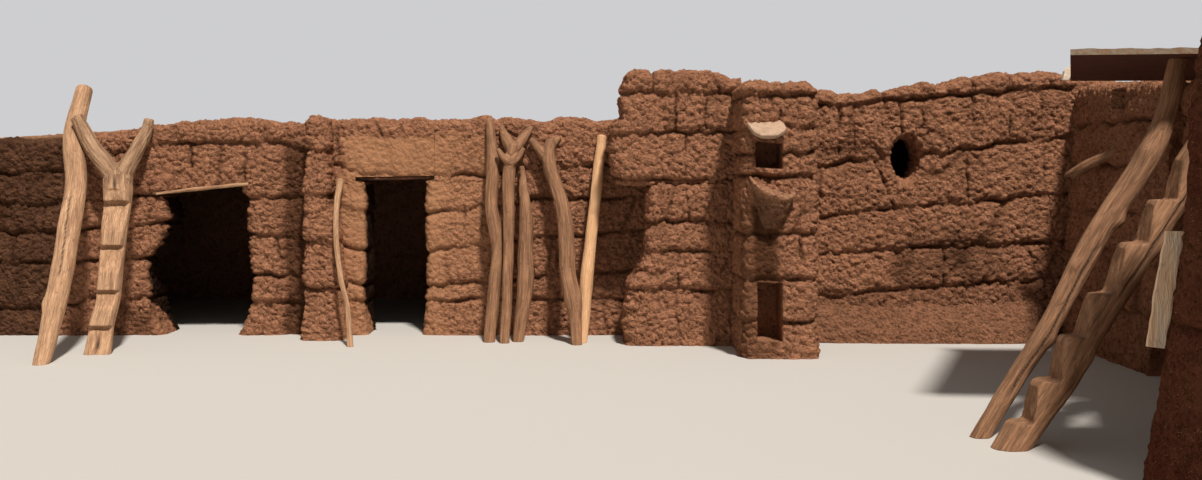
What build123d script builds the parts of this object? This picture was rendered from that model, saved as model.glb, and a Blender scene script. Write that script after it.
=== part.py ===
from build123d import *
from math import sin
import os

os.makedirs("parts", exist_ok=True)

# Coursed mud house round the corner of a court. Millimetres, +Z up, origin on the ground under the middle.
# The court is on the -Y side.
house_left = -5550
house_back = 4650
court_front = -4650
corner = 5050
corner_thick = 500
house_right = corner + corner_thick

# How the mud walls are laid
wall = 400
inner_skin = 20
bulge = 30
shoulder = 0.18
seat = 0.3
clear = 200

# Low block: front face, courses, and the heights of its uneven top along X
low_face = 1190
side_face = 1200
low_courses = [320, 670, 1000, 1330, 1740]
low_tops = [(house_left, 1820), (-4100, 1840), (-3390, 1940), (-2700, 2030), (-2100, 1970),
            (-1600, 2014), (-400, 2012), (side_face, 1996)]
low_back_tops = [(house_left, 1840), (-3390, 1925), (-1800, 1950), (side_face, 1965)]
low_end_top = 1830
low_ledge = 1600

# High block: faces, courses and heights
high_face = 550
high_courses = [480, 816, 1078, 1445, 1856]
high_top = 2432
top_course = 227
high_left_fall = 92
high_back_fall = 32
high_ledge = 1880
vent_wall_face = 850
slope_left = [390, 768, 1100, 1550, 2090]
slope_right = [570, 894, 1334, 1829, 2290]
slope_tops = [(0, 2296), (0.143, 2233), (0.313, 2262), (0.407, 2323), (0.512, 2323), (0.583, 2377),
              (0.76, 2413), (0.92, 2450), (1, 2350)]

# Broken end of the high front wall, as offsets from the side wall's face: it overhangs from its middle up
top_joint = high_top - top_course
sky = 1.25 * high_top
ragged_end = [(-240, 0), (-240, 450), (-162, 600), (-66, 816), (-66, 1078), (-31, 1090), (-31, 1440),
              (-354, 1460), (-354, 1945), (-275, 1960), (-275, top_joint - 5), (-240, top_joint + 10),
              (-240, sky), (-500, sky), (-500, 0)]

# Pier with two niches, a flat stone and a clay shelf
pier_left = 1895
pier_right = 2530
pier_face = -150
pier_top = 2280
pier_courses = [300, 640, 1010, 1500, 1930]
pier_edge = 55
niche_depth = 350
upper_niche = (2003, 2223, 1558, 1770)
lower_niche = (2027, 2231, 142, 622)
stone_thick = 38
stone_bed = 140
stone_left = 65
stone_right = 24
stone_reach = 185
stone_chamfer = 8
shelf_x = 2142
shelf_radius = 185
shelf_top = 1420
shelf_height = 360
shelf_rim = 35
shelf_floor = 95
shelf_stem = 70

# Doorways, as seen from the court
left_door = [(-3345, 1309), (-3298, 1188), (-3289, 984), (-3354, 844), (-3438, 751), (-3475, 547),
             (-3438, 315), (-3391, 129), (-3330, 0), (-2600, 0), (-2537, 92), (-2481, 315), (-2463, 473),
             (-2491, 751), (-2518, 1039), (-2528, 1244), (-2574, 1395)]
right_door = [(-1450, 1435), (-1446, 800), (-1462, 300), (-1440, 0), (-880, 0), (-862, 300), (-870, 800),
              (-875, 1445)]
bearing = 80
stick = 30
stick_play = 6
stick_count = 7

# Vent in the high front wall
vent_x = 3488
vent_z = 1636
vent_width = 262
vent_height = 386
vent_margin = 210
vent_rim = 90

# Sloping foot of that wall: share of its run, rise and reach
foot_shape = [(0, 330, 120), (0.34, 300, 170), (0.73, 340, 200), (1, 380, 150)]
foot_left_gap = 10
foot_right_gap = 250

# Buttress between the doorways: height, width and depth of its rings
buttress_left = -1924
buttress_rings = [(0, 366, 330), (430, 322, 270), (490, 335, 300), (850, 284, 260), (900, 292, 280),
                  (1280, 215, 235), (1340, 226, 250), (1700, 200, 205), (2050, 180, 170)]

# Roofs
low_joist = 55
high_joist = 60
joist_pitch = 560
joist_margin = 260
brush = 35
low_roof_tops = [(-3390, 1925), (house_left, 1795)]
low_roof_top = 1955
high_roof_top = 2185

# Wall that comes forward from the corner, battered on the court side, with a pocket and a branch in it
return_courses = [420, 800, 1180, 1560, 1930]
return_thick = 450
return_batter = 190
return_near = -950
return_tops = [(return_near, 2210), (-400, 2260), (vent_wall_face, 2290)]
pocket = (-150, 100, 2030, 2190)
pocket_depth = 150
branch_root = (10, -80, 1730)
branch_tip = (-322, 300, 1490)
branch_rings = [(0.0, 32), (0.45, 32), (0.7, 58), (1.0, 72)]

# Court wall that runs on from it, the pier at its near end, the board on that pier and the shade roof
court_wall_top = 2200
court_wall_inset = 900
court_wall_skew = 960
end_pier_back = -3950
end_pier_top = 2450
end_pier_left = [(0, -800), (600, -695), (1100, -615), (1400, -590), (1950, -560), (2250, -500),
                 (end_pier_top, -485)]
end_pier_right = 490
end_pier_edge = 70
end_pier_courses = [400, 790, 1190, 1600, 2010]
board_outline = [(-736, 678), (-650, 668), (-550, 1241), (-638, 1241)]
board_thick = 22
shade_plan = [(-700, -1980), (110, 30), (1150, -10), (650, -2130)]
shade_thick = 34

# Trunks, as rings of X, distance in front of the low wall's face, height and radius.
# A distance of 0 stands for leaning on that face.
left_log_rings = [(-3676, 1600, 0, 62), (-3691, 1494, 126, 72), (-3737, 1241, 424, 86), (-3790, 975, 739, 92),
                  (-3863, 693, 1072, 95), (-3945, 395, 1425, 90), (-4090, 0, 1823, 92),
                  (-4175, -290, 2300, 76)]
left_ladder_rings = [(-3445, 1110, 0, 110), (-3460, 986, 225, 101), (-3455, 899, 384, 96),
                     (-3471, 810, 545, 99), (-3519, 623, 885, 105), (-3560, 429, 1238, 118),
                     (-3597, 327, 1450, 128)]
left_ladder_arms = [
    [(-3610, 322, 1420, 90), (-3690, 275, 1530, 86), (-3855, 230, 1714, 78), (-4040, 170, 2020, 56)],
    [(-3580, 322, 1420, 88), (-3555, 265, 1530, 84), (-3485, 160, 1733, 70), (-3440, 0, 1880, 56),
     (-3410, 78, 2004, 46)]]
left_ladder_treads = [215, 500, 870, 1250]
slim_pole_rings = [(-1425, 710, 0, 30), (-1484, 570, 356, 22), (-1550, 490, 552, 22), (-1615, 390, 846, 26),
                   (-1652, 230, 1208, 28), (-1650, 0, 1440, 32)]
left_post_rings = [(-245, 430, 0, 55), (-204, 340, 511, 58), (-184, 290, 786, 54), (-200, 260, 947, 66),
                   (-248, 215, 1198, 58), (-238, 150, 1541, 64), (-268, 0, 1880, 44), (-285, 70, 2010, 26)]
forked_post_rings = [(-104, 490, 0, 46), (-82, 392, 655, 46), (-82, 320, 1064, 50), (-87, 230, 1478, 60),
                     (-50, 160, 1760, 58)]
forked_post_arms = [[(-60, 170, 1700, 44), (-110, 120, 1810, 40), (-170, 0, 1910, 28)],
                    [(-50, 170, 1700, 44), (30, 120, 1810, 38), (103, 0, 1910, 28)]]
right_post_rings = [(11, 400, 0, 52), (67, 320, 507, 78), (65, 260, 784, 70), (68, 210, 1062, 64),
                    (43, 150, 1333, 46), (26, 0, 1500, 30), (20, 62, 1570, 22)]
forked_log_rings = [(540, 590, 0, 50), (525, 544, 210, 54), (502, 500, 391, 82), (457, 430, 590, 72),
                    (442, 360, 862, 74), (408, 280, 1172, 64), (334, 190, 1405, 62), (273, 140, 1614, 66),
                    (285, 0, 1810, 52)]
forked_log_arm = [(273, 140, 1600, 44), (190, 110, 1710, 42), (100, 80, 1815, 34)]
peeled_pole_rings = [(575, 460, 0, 56), (590, 430, 147, 56), (620, 360, 540, 60), (660, 280, 923, 54),
                     (705, 190, 1333, 52), (759, 0, 1850, 46)]

# The same on the right, as X from the court wall's near end, Y, height and radius
right_log_rings = [(-1270, -2930, -90, 52), (-1002, -2884, 328, 56), (-827, -2857, 573, 57),
                   (-507, -2796, 1127, 70), (-177, -2744, 1603, 71), (-83, -2725, 1775, 62),
                   (60, -2690, 2260, 60)]
right_ladder_rings = [(-1190, -3190, -90, 92), (-1006, -3162, 178, 100), (-859, -3143, 374, 106),
                      (-710, -3118, 616, 102), (-543, -3095, 848, 100), (-351, -3067, 1127, 100),
                      (-181, -3043, 1369, 96), (70, -3010, 1750, 84), (290, -3010, 2090, 70)]
right_ladder_treads = [150, 376, 616, 848, 1127, 1369]
notch_rise = 245
notch_reach = 300


def level(table, x):
    """Height at x on a line drawn through a short table of (x, height)."""
    if x <= table[0][0]:
        return table[0][1]
    for (x0, z0), (x1, z1) in zip(table, table[1:]):
        if x <= x1:
            return z0 + (z1 - z0) * (x - x0) / (x1 - x0)
    return table[-1][1]


def swells(joints, top):
    """Heights where a coursed face turns, each with 1 where it stands out and 0 at a joint."""
    turns = [(0, 1)]
    for low, high in zip([0] + joints, joints + [top]):
        round_off = shoulder * (high - low)
        if low > 0:
            turns.append((low + round_off, 1))
        turns.append((high - round_off, 1))
        turns.append((high, 0))
    return turns


def section(outer, inner, joints, top, batter=0, both=False):
    """Upright cross-section of a wall: courses bulge on the outer face, and on the inner face if both do."""
    side = 1 if outer > inner else -1
    turns = swells(joints, top)
    points = [(outer + side * (swell * bulge + batter * (1 - z / top)), z) for z, swell in turns]
    if both:
        inside = [(inner - side * swell * bulge, z) for z, swell in turns]
    else:
        inside = [(inner, 0), (inner, top)]
    return points + inside[::-1]


def face_on(plane, points):
    """A flat face with straight edges through the points."""
    with BuildSketch(plane) as outline:
        with BuildLine():
            Polyline(*points, close=True)
        make_face()
    return outline.sketch


def stations(start, end, table):
    """Both ends of a run and every place between them where the table changes."""
    between = [x for x, _ in table if start < x < end]
    return [start] + between + [end]


def wander(x):
    """How far the joints between courses rise and fall along a wall."""
    return 14 * sin(x / 640)


def low_front(start, end):
    """A stretch of the low front wall."""
    faces = []
    for x in stations(start, end, low_tops):
        joints = [z + wander(x) for z in low_courses]
        points = section(low_face, low_face + wall, joints, level(low_tops, x))
        faces.append(face_on(Plane.YZ.offset(x), points))
    loft(faces, ruled=True)


roof_step = (pier_left + pier_right) / 2
slope_line = [(pier_right + share * (corner - pier_right), z) for share, z in slope_tops]


def vent_front(start, end):
    """A stretch of the high wall whose courses climb towards the corner."""
    faces = []
    for x in stations(start, end, slope_line):
        share = min(1, (x - pier_right) / (corner - pier_right))
        joints = [a + (b - a) * share for a, b in zip(slope_left, slope_right)]
        points = section(vent_wall_face, vent_wall_face + wall + inner_skin, joints, level(slope_line, x))
        faces.append(face_on(Plane.YZ.offset(x), points))
    loft(faces, ruled=True)


def cut_box(x0, x1, y0, y1, z0, z1):
    """Take a straight box out of the wall being made."""
    extrude(face_on(Plane.XY.offset(z0), [(x0, y0), (x1, y0), (x1, y1), (x0, y1)]), amount=z1 - z0,
            mode=Mode.SUBTRACT)


def cut_through(outline, front, back):
    """Cut an outline drawn in X and Z through everything between two depths."""
    extrude(face_on(Plane.XZ.offset(-back), outline), amount=back - front, mode=Mode.SUBTRACT)


def cut_low_wall(outline):
    """Cut an outline through the low front wall."""
    cut_through(outline, low_face - clear, low_face + wall + clear)


def middle(door):
    """X halfway between a doorway's jambs."""
    places = [x for x, _ in door]
    return (min(places) + max(places)) / 2


def above_lintel(door, lift):
    """Outline of the wall's space over a doorway, lifted above the door's head."""
    (x0, z0), (x1, z1) = door[0], door[-1]
    fall = (z1 - z0) / (x1 - x0) * bearing
    return [(x0 - bearing, z0 - fall + lift), (x1 + bearing, z1 + fall + lift), (x1 + bearing, sky),
            (x0 - bearing, sky)]


def cut_low_roof():
    """The step along the inner top edge of the low walls, where the joists bear."""
    cut_box(house_left + wall / 2, side_face, low_face + wall / 2, house_back - wall / 2, low_ledge, sky)


def cut_high_roof():
    """The step along the inner top edge of the high walls."""
    extrude(face_on(Plane.XY.offset(high_ledge), high_roof_plan(0)), amount=sky, mode=Mode.SUBTRACT)


def high_roof_plan(gap):
    """Plan of the high block's roof, inside the outer half of its walls."""
    left = side_face + wall / 2 + gap
    right = house_right - wall / 2 - gap
    front = high_face + wall / 2 + gap
    step = vent_wall_face + wall / 2 + gap
    back = house_back - wall / 2 - gap
    return [(left, front), (roof_step, front), (roof_step, step), (right, step), (right, back), (left, back)]


def block_ring(left, right, front, back, edge, z):
    """A pier's level ring, with its two court-side corners cut off."""
    return face_on(Plane.XY.offset(z), [(left, back), (left, front + edge), (left + edge, front),
                                        (right - edge, front), (right, front + edge), (right, back)])


def finish(piece, name):
    """Label a piece and write it."""
    piece.part.label = name
    export_step(piece.part, f"parts/{name}.step")


# Low block: the front wall in stretches beside and over its two doorways
left_head = above_lintel(left_door, 0)
right_head = above_lintel(right_door, 0)
low_end = side_face - bulge - seat

with BuildPart() as low_wall_left:
    low_front(house_left, middle(left_door))
    cut_low_wall(left_door)
    cut_low_wall(left_head)
    cut_low_roof()
finish(low_wall_left, "low_front_wall_left")

with BuildPart() as low_wall_middle:
    low_front(middle(left_door), middle(right_door))
    for outline in [left_door, right_door, left_head, right_head]:
        cut_low_wall(outline)
    cut_low_roof()
finish(low_wall_middle, "low_front_wall_middle")

with BuildPart() as low_wall_right:
    low_front(middle(right_door), low_end)
    cut_low_wall(right_door)
    cut_low_wall(right_head)
    cut_low_roof()
finish(low_wall_right, "low_front_wall_right")


def wall_over(door):
    """The wall that stands on a doorway's lintel sticks."""
    head = above_lintel(door, stick + 2 * seat)
    low_front(head[0][0] + seat, head[1][0] - seat)
    cut_low_wall([head[0], head[1], (head[1][0], -clear), (head[0][0], -clear)])
    cut_low_roof()


with BuildPart() as over_left_door:
    wall_over(left_door)
finish(over_left_door, "wall_over_left_doorway")

with BuildPart() as over_right_door:
    wall_over(right_door)
finish(over_right_door, "wall_over_right_doorway")


def lintel(door):
    """Sticks laid side by side across a doorway's head, from jamb to jamb."""
    head = above_lintel(door, stick / 2 + seat)
    head_left = Vector(head[0][0], 0, head[0][1])
    head_right = Vector(head[1][0], 0, head[1][1])
    play = (head_right - head_left).normalized() * stick_play
    start = head_left + play
    end = head_right - play
    pitch = (wall - 2 * stick) / (stick_count - 1)
    for i in range(stick_count):
        along = Plane(start + Vector(0, low_face + stick + i * pitch, 0), z_dir=end - start)
        with BuildSketch(along) as round_end:
            Circle(stick / 2)
        extrude(round_end.sketch, amount=(end - start).length)


with BuildPart() as left_lintel:
    lintel(left_door)
finish(left_lintel, "left_doorway_lintel")

with BuildPart() as right_lintel:
    lintel(right_door)
finish(right_lintel, "right_doorway_lintel")

back_shift = 900
with BuildPart() as low_back:
    back_faces = []
    for x in stations(house_left, low_end, low_back_tops):
        joints = [z + wander(x + back_shift) for z in low_courses]
        points = section(house_back - bulge, house_back - bulge - wall, joints, level(low_back_tops, x))
        back_faces.append(face_on(Plane.YZ.offset(x), points))
    loft(back_faces, ruled=True)
    cut_low_roof()
finish(low_back, "low_back_wall")

with BuildPart() as low_side:
    side_faces = []
    for y in [low_face + wall + seat, house_back - bulge - wall - seat]:
        joints = [z + wander(y) for z in low_courses]
        points = section(house_left + bulge, house_left + bulge + wall, joints, low_end_top)
        side_faces.append(face_on(Plane.XZ.offset(-y), points))
    loft(side_faces, ruled=True)
    cut_low_roof()
finish(low_side, "low_end_wall")

# Mud buttress between the doorways, swelling at each course and spreading at its foot
with BuildPart() as buttress:
    buttress_back = low_face - bulge - seat
    rings = []
    for z, width, depth in buttress_rings:
        right = buttress_left + width
        cheek = buttress_back - 0.7 * depth
        nose = buttress_back - depth
        plan = [(buttress_left, buttress_back), (buttress_left, cheek), (buttress_left + 0.2 * width, nose),
                (right - 0.2 * width, nose), (right, cheek), (right, buttress_back)]
        rings.append(face_on(Plane.XY.offset(z), plan))
    loft(rings, ruled=True)
finish(buttress, "buttress")


def joists(left, right, front, back, radius, ledge):
    """Log joists lying side by side on the ledges of two walls."""
    count = int((right - left) / joist_pitch)
    for i in range(count):
        x = left + joist_margin + (right - left - 2 * joist_margin) * i / (count - 1)
        with BuildSketch(Plane.XZ.offset(-front(x))) as round_end:
            with Locations((x, ledge + radius + seat)):
                Circle(radius)
        extrude(round_end.sketch, amount=-(back - front(x)))


# Low roof: joists, a layer of branches, and beaten earth that falls towards the house's left end
low_roof_left = house_left + wall / 2 + seat
low_roof_right = side_face - bulge - seat
low_roof_front = low_face + wall / 2 + seat
low_roof_back = house_back - wall / 2 - bulge - seat
with BuildPart() as low_joists:
    joists(low_roof_left, low_roof_right, lambda x: low_roof_front, low_roof_back, low_joist, low_ledge)
finish(low_joists, "low_roof_joists")

low_brush_level = low_ledge + 2 * low_joist + 2 * seat
with BuildPart() as low_brush:
    with BuildSketch(Plane.XY.offset(low_brush_level)):
        with BuildLine():
            Polyline((low_roof_left, low_roof_front), (low_roof_right, low_roof_front),
                     (low_roof_right, low_roof_back), (low_roof_left, low_roof_back), close=True)
        make_face()
    extrude(amount=brush)
finish(low_brush, "low_roof_branches")

low_earth_base = low_brush_level + brush
with BuildPart() as low_earth:
    with BuildSketch(Plane.XZ.offset(-low_roof_front)):
        with BuildLine():
            Polyline((low_roof_left, low_earth_base), (low_roof_right, low_earth_base),
                     (low_roof_right, low_roof_top), low_roof_tops[0], (low_roof_left, low_roof_tops[1][1]),
                     close=True)
        make_face()
    extrude(amount=-(low_roof_back - low_roof_front))
finish(low_earth, "low_roof_earth")

# High block: the front wall left of the pier, with its ragged overhanging end
with BuildPart() as high_left:
    high_faces = []
    for x, top in [(side_face - wall, high_top), (pier_left - clear, high_top),
                   (pier_left - seat, high_top - high_left_fall)]:
        joints = [z + wander(x) for z in high_courses + [top_joint]]
        points = section(high_face, high_face + wall + inner_skin, joints, top)
        high_faces.append(face_on(Plane.YZ.offset(x), points))
    loft(high_faces, ruled=True)
    cut_through([(side_face + x, z) for x, z in ragged_end], high_face - clear, high_face + wall + clear)
    cut_high_roof()
finish(high_left, "high_front_wall_left")


def plain_top(x):
    """The high walls' top away from the court, which rises and falls a little."""
    return high_top - high_back_fall + wander(x)


def side_wall(outer, inner, start, end, shift):
    """A wall of the high block that runs from front to back."""
    faces = []
    for y in [start, (start + end) / 2, end]:
        joints = [z + wander(y + shift) for z in high_courses + [top_joint]]
        faces.append(face_on(Plane.XZ.offset(-y), section(outer, inner, joints, plain_top(2 * y))))
    loft(faces, ruled=True)
    cut_high_roof()


side_end = house_back - bulge - wall - seat
with BuildPart() as high_side:
    side_wall(side_face, side_face + wall, high_face + wall + inner_skin + seat, side_end, 0)
finish(high_side, "high_side_wall")

# Pier in the corner of the high front wall
pier_back = vent_wall_face + wall + inner_skin
with BuildPart() as pier:
    pier_rings = []
    for z, swell in swells(pier_courses, pier_top):
        recess = (1 - swell) * bulge
        pier_rings.append(block_ring(pier_left + recess, pier_right - recess, pier_face - bulge + recess,
                                     pier_back, pier_edge, z))
    loft(pier_rings, ruled=True)
    for x0, x1, z0, z1 in [upper_niche, lower_niche]:
        cut_box(x0, x1, pier_face - clear, pier_face + niche_depth, z0, z1)
    cut_box(upper_niche[0] - stone_left - seat, upper_niche[1] + stone_right + seat, pier_face - clear,
            pier_face + stone_bed + seat, upper_niche[3] - seat, upper_niche[3] + stone_thick + seat)
    cut_high_roof()
finish(pier, "niche_pier")

with BuildPart() as stone:
    with BuildSketch(Plane.XY.offset(upper_niche[3])):
        with BuildLine():
            Polyline((upper_niche[0] - stone_left, pier_face + stone_bed),
                     (upper_niche[0] - stone_left + 7, pier_face - 0.65 * stone_reach),
                     (upper_niche[0] + 30, pier_face - stone_reach),
                     (upper_niche[1] - 20, pier_face - 0.9 * stone_reach),
                     (upper_niche[1] + stone_right, pier_face - 0.5 * stone_reach),
                     (upper_niche[1] + stone_right - 4, pier_face + stone_bed), close=True)
        make_face()
    extrude(amount=stone_thick)
    chamfer(stone.faces().sort_by(Axis.Z)[-1].edges(), length=stone_chamfer)
finish(stone, "niche_stone")

shelf_back = pier_face - bulge - seat
with BuildPart() as shelf:
    shelf_foot = shelf_top - shelf_height
    shelf_turn = (0.62 * shelf_radius, shelf_top - 0.75 * shelf_height)
    with BuildSketch(Plane(origin=(shelf_x, shelf_back, 0), x_dir=(1, 0, 0), z_dir=(0, -1, 0))):
        with BuildLine():
            Polyline((0, shelf_foot), (shelf_stem, shelf_foot), shelf_turn)
            Spline(shelf_turn, (0.89 * shelf_radius, shelf_top - 0.4 * shelf_height),
                   (shelf_radius, shelf_top))
            Polyline((shelf_radius, shelf_top), (shelf_radius - shelf_rim, shelf_top),
                     (shelf_radius - shelf_rim - 25, shelf_top - shelf_floor + 10),
                     (0, shelf_top - shelf_floor), (0, shelf_foot))
        make_face()
    revolve(axis=Axis((shelf_x, shelf_back, 0), (0, 0, -1)), revolution_arc=180)
finish(shelf, "clay_shelf")

# High front wall right of the pier: its courses climb to the corner, and a round vent goes through it
with BuildPart() as pier_side:
    vent_front(pier_right + seat, vent_x - vent_margin)
    cut_high_roof()
finish(pier_side, "high_front_wall_by_pier")


def vent_stretch(keep_under, keep_over):
    """The stretch of wall with the vent, cut level a little under and over it: one of its three parts."""
    vent_front(vent_x - vent_margin + seat, vent_x + vent_margin - seat)
    cut_high_roof()
    under = Plane.XY.offset(vent_z - vent_height / 2 - vent_rim)
    over = Plane.XY.offset(vent_z + vent_height / 2 + vent_rim)
    if keep_under:
        split(bisect_by=under.offset(-seat), keep=Keep.BOTTOM)
    elif keep_over:
        split(bisect_by=over.offset(seat), keep=Keep.TOP)
    else:
        split(bisect_by=under, keep=Keep.TOP)
        split(bisect_by=over, keep=Keep.BOTTOM)


with BuildPart() as under_vent:
    vent_stretch(True, False)
finish(under_vent, "wall_under_vent")

with BuildPart() as over_vent:
    vent_stretch(False, True)
finish(over_vent, "wall_over_vent")

with BuildPart() as vent_wall:
    vent_stretch(False, False)
    with BuildSketch(Plane.XZ.offset(-vent_wall_face + clear)) as vent:
        with Locations((vent_x, vent_z)):
            Ellipse(vent_width / 2, vent_height / 2)
    extrude(vent.sketch, amount=-(wall + 2 * clear), mode=Mode.SUBTRACT)
finish(vent_wall, "high_front_wall_vent")

with BuildPart() as corner_wall:
    vent_front(vent_x + vent_margin, house_right)
    cut_high_roof()
finish(corner_wall, "high_front_wall_corner")

with BuildPart() as foot:
    foot_back = vent_wall_face - bulge - seat
    foot_left = pier_right + foot_left_gap
    foot_run = corner - foot_right_gap - foot_left
    foot_faces = []
    for share, rise, reach in foot_shape:
        points = [(foot_back, 0), (foot_back - reach, 0), (foot_back - 0.8 * reach, 0.35 * rise),
                  (foot_back - 0.25 * reach, 0.8 * rise), (foot_back, rise)]
        foot_faces.append(face_on(Plane.YZ.offset(foot_left + share * foot_run), points))
    loft(foot_faces, ruled=True)
finish(foot, "wall_foot")

with BuildPart() as high_back:
    back_faces = []
    for x in [side_face, (side_face + house_right) / 2, house_right]:
        joints = [z + wander(x + back_shift) for z in high_courses + [top_joint]]
        points = section(house_back - bulge, house_back - bulge - wall, joints, plain_top(2 * x))
        back_faces.append(face_on(Plane.YZ.offset(x), points))
    loft(back_faces, ruled=True)
    cut_high_roof()
finish(high_back, "high_back_wall")

with BuildPart() as high_right:
    side_wall(house_right - bulge, house_right - bulge - wall, vent_wall_face + wall + inner_skin + seat,
              side_end, clear)
finish(high_right, "high_right_wall")


def high_joist_front(x):
    """Where a joist of the high roof starts: nearer the court left of the pier's middle."""
    reach = high_face if x < roof_step else vent_wall_face
    return reach + wall / 2 + seat


with BuildPart() as high_joists:
    joists(side_face + wall / 2 + seat, house_right - wall / 2 - seat, high_joist_front,
           house_back - wall / 2 - bulge - seat, high_joist, high_ledge)
finish(high_joists, "high_roof_joists")

high_brush_level = high_ledge + 2 * high_joist + 2 * seat
with BuildPart() as high_brush:
    with BuildSketch(Plane.XY.offset(high_brush_level)):
        with BuildLine():
            Polyline(*high_roof_plan(seat), close=True)
        make_face()
    extrude(amount=brush)
finish(high_brush, "high_roof_branches")

with BuildPart() as high_earth:
    with BuildSketch(Plane.XY.offset(high_brush_level + brush)):
        with BuildLine():
            Polyline(*high_roof_plan(seat), close=True)
        make_face()
    extrude(amount=high_roof_top - high_brush_level - brush)
finish(high_earth, "high_roof_earth")

# The wall that comes forward from the corner
branch_start = Vector(corner + branch_root[0], branch_root[1], branch_root[2])
branch_end = Vector(corner + branch_tip[0], branch_tip[1], branch_tip[2])
branch_line = branch_end - branch_start
with BuildPart() as return_wall:
    return_faces = []
    for y in stations(return_near, vent_wall_face - bulge - seat, return_tops):
        joints = [z + wander(2 * y) for z in return_courses]
        points = section(corner + bulge, corner + return_thick, joints, level(return_tops, y), return_batter,
                         both=True)
        return_faces.append(face_on(Plane.XZ.offset(-y), points))
    loft(return_faces, ruled=True)
    cut_box(corner - clear, corner + pocket_depth, *pocket)
    with BuildSketch(Plane(branch_start, z_dir=branch_line)) as branch_hole:
        Circle(branch_rings[0][1] + seat)
    extrude(branch_hole.sketch, amount=clear, mode=Mode.SUBTRACT)
finish(return_wall, "return_wall")

with BuildPart() as branch:
    branch_faces = []
    for share, radius in branch_rings:
        with BuildSketch(Plane(branch_start + branch_line * share, z_dir=branch_line)) as ring:
            Circle(radius)
        branch_faces.append(ring.sketch)
    loft(branch_faces, ruled=True)
finish(branch, "wall_branch")

# The court wall, the pier at its near end with a board on it, and the shade roof
court_wall_near = corner - court_wall_inset
court_line = Vector(court_wall_skew, return_near - end_pier_back, 0)
with BuildPart() as court_wall:
    with BuildSketch(Plane.XZ.offset(-end_pier_back - seat)):
        with BuildLine():
            Polyline(*section(court_wall_near, court_wall_near + wall, return_courses, court_wall_top,
                              both=True), close=True)
        make_face()
    extrude(amount=(return_near - end_pier_back - 2 * seat) / court_line.normalized().Y, dir=court_line)
finish(court_wall, "court_wall")

with BuildPart() as end_pier:
    end_rings = []
    for z, swell in swells(end_pier_courses, end_pier_top):
        recess = (1 - swell) * bulge
        end_rings.append(block_ring(court_wall_near + level(end_pier_left, z) + recess,
                                    court_wall_near + end_pier_right - recess, court_front + recess,
                                    end_pier_back, end_pier_edge, z))
    loft(end_rings, ruled=True)
finish(end_pier, "court_wall_pier")

with BuildPart() as board:
    with BuildSketch(Plane.XZ.offset(-end_pier_back - seat)):
        with BuildLine():
            Polyline(*[(court_wall_near + x, z) for x, z in board_outline], close=True)
        make_face()
    extrude(amount=-board_thick)
finish(board, "edge_board")

with BuildPart() as shade:
    with BuildSketch(Plane.XY.offset(court_wall_top + seat)):
        with BuildLine():
            Polyline(*[(court_wall_near + x, return_near + y) for x, y in shade_plan], close=True)
        make_face()
    extrude(amount=shade_thick)
finish(shade, "shade_roof")


# Logs, posts and notched ladders that lean on the low wall
def placed(rings):
    """Rings of a trunk before the low wall, with Y worked out from their distance to its face."""
    found = []
    for x, reach, z, radius in rings:
        touch = bulge + seat + radius
        found.append((x, low_face - (reach or touch), z, radius))
    return found


def trunk(rings):
    """A trunk through level rings."""
    faces = []
    for x, y, z, radius in placed(rings):
        with BuildSketch(Plane((x, y, z))) as ring:
            Circle(radius)
        faces.append(ring.sketch)
    loft(faces, ruled=True)


def at_height(points, z):
    """Middle and radius of a trunk at a height."""
    for (x0, y0, z0, r0), (x1, y1, z1, r1) in zip(points, points[1:]):
        if z <= z1:
            share = (z - z0) / (z1 - z0)
            return x0 + (x1 - x0) * share, y0 + (y1 - y0) * share, r0 + (r1 - r0) * share
    return points[-1][0], points[-1][1], points[-1][3]


with BuildPart() as left_log:
    trunk(left_log_rings)
finish(left_log, "left_leaning_log")

with BuildPart() as left_ladder:
    trunk(left_ladder_rings)
    for arm in left_ladder_arms:
        trunk(arm)
    stem = placed(left_ladder_rings)
    for tread in left_ladder_treads:
        x, y, radius = at_height(stem, tread)
        _, upper_y, upper_radius = at_height(stem, tread + notch_rise)
        wedge = [(y - 0.1 * radius, tread), (y - 2 * radius, tread),
                 (upper_y - 1.02 * upper_radius, tread + notch_rise)]
        extrude(face_on(Plane.YZ.offset(x), wedge), amount=notch_reach, both=True, mode=Mode.SUBTRACT)
finish(left_ladder, "left_notched_ladder")

with BuildPart() as slim_pole:
    trunk(slim_pole_rings)
finish(slim_pole, "slim_pole")

with BuildPart() as left_post:
    trunk(left_post_rings)
finish(left_post, "left_post")

with BuildPart() as forked_post:
    trunk(forked_post_rings)
    for arm in forked_post_arms:
        trunk(arm)
finish(forked_post, "forked_post")

with BuildPart() as right_post:
    trunk(right_post_rings)
finish(right_post, "right_post")

with BuildPart() as forked_log:
    trunk(forked_log_rings)
    trunk(forked_log_arm)
finish(forked_log, "leaning_forked_log")

with BuildPart() as peeled_pole:
    trunk(peeled_pole_rings)
finish(peeled_pole, "peeled_pole")


# The log and the notched ladder in the court's right corner
def slanted_trunk(rings):
    """A trunk through rings square to its run, cut off level at the ground."""
    places = [Vector(court_wall_near + x, y, z) for x, y, z, _ in rings]
    faces = []
    for i, (place, ring) in enumerate(zip(places, rings)):
        run = places[min(i + 1, len(places) - 1)] - places[max(i - 1, 0)]
        with BuildSketch(Plane(place, z_dir=run)) as outline:
            Circle(ring[3])
        faces.append(outline.sketch)
    loft(faces, ruled=True)
    split(bisect_by=Plane.XY, keep=Keep.TOP)


with BuildPart() as right_log:
    slanted_trunk(right_log_rings)
    split(bisect_by=Plane.XY.offset(court_wall_top), keep=Keep.BOTTOM)
finish(right_log, "right_leaning_log")

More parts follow.
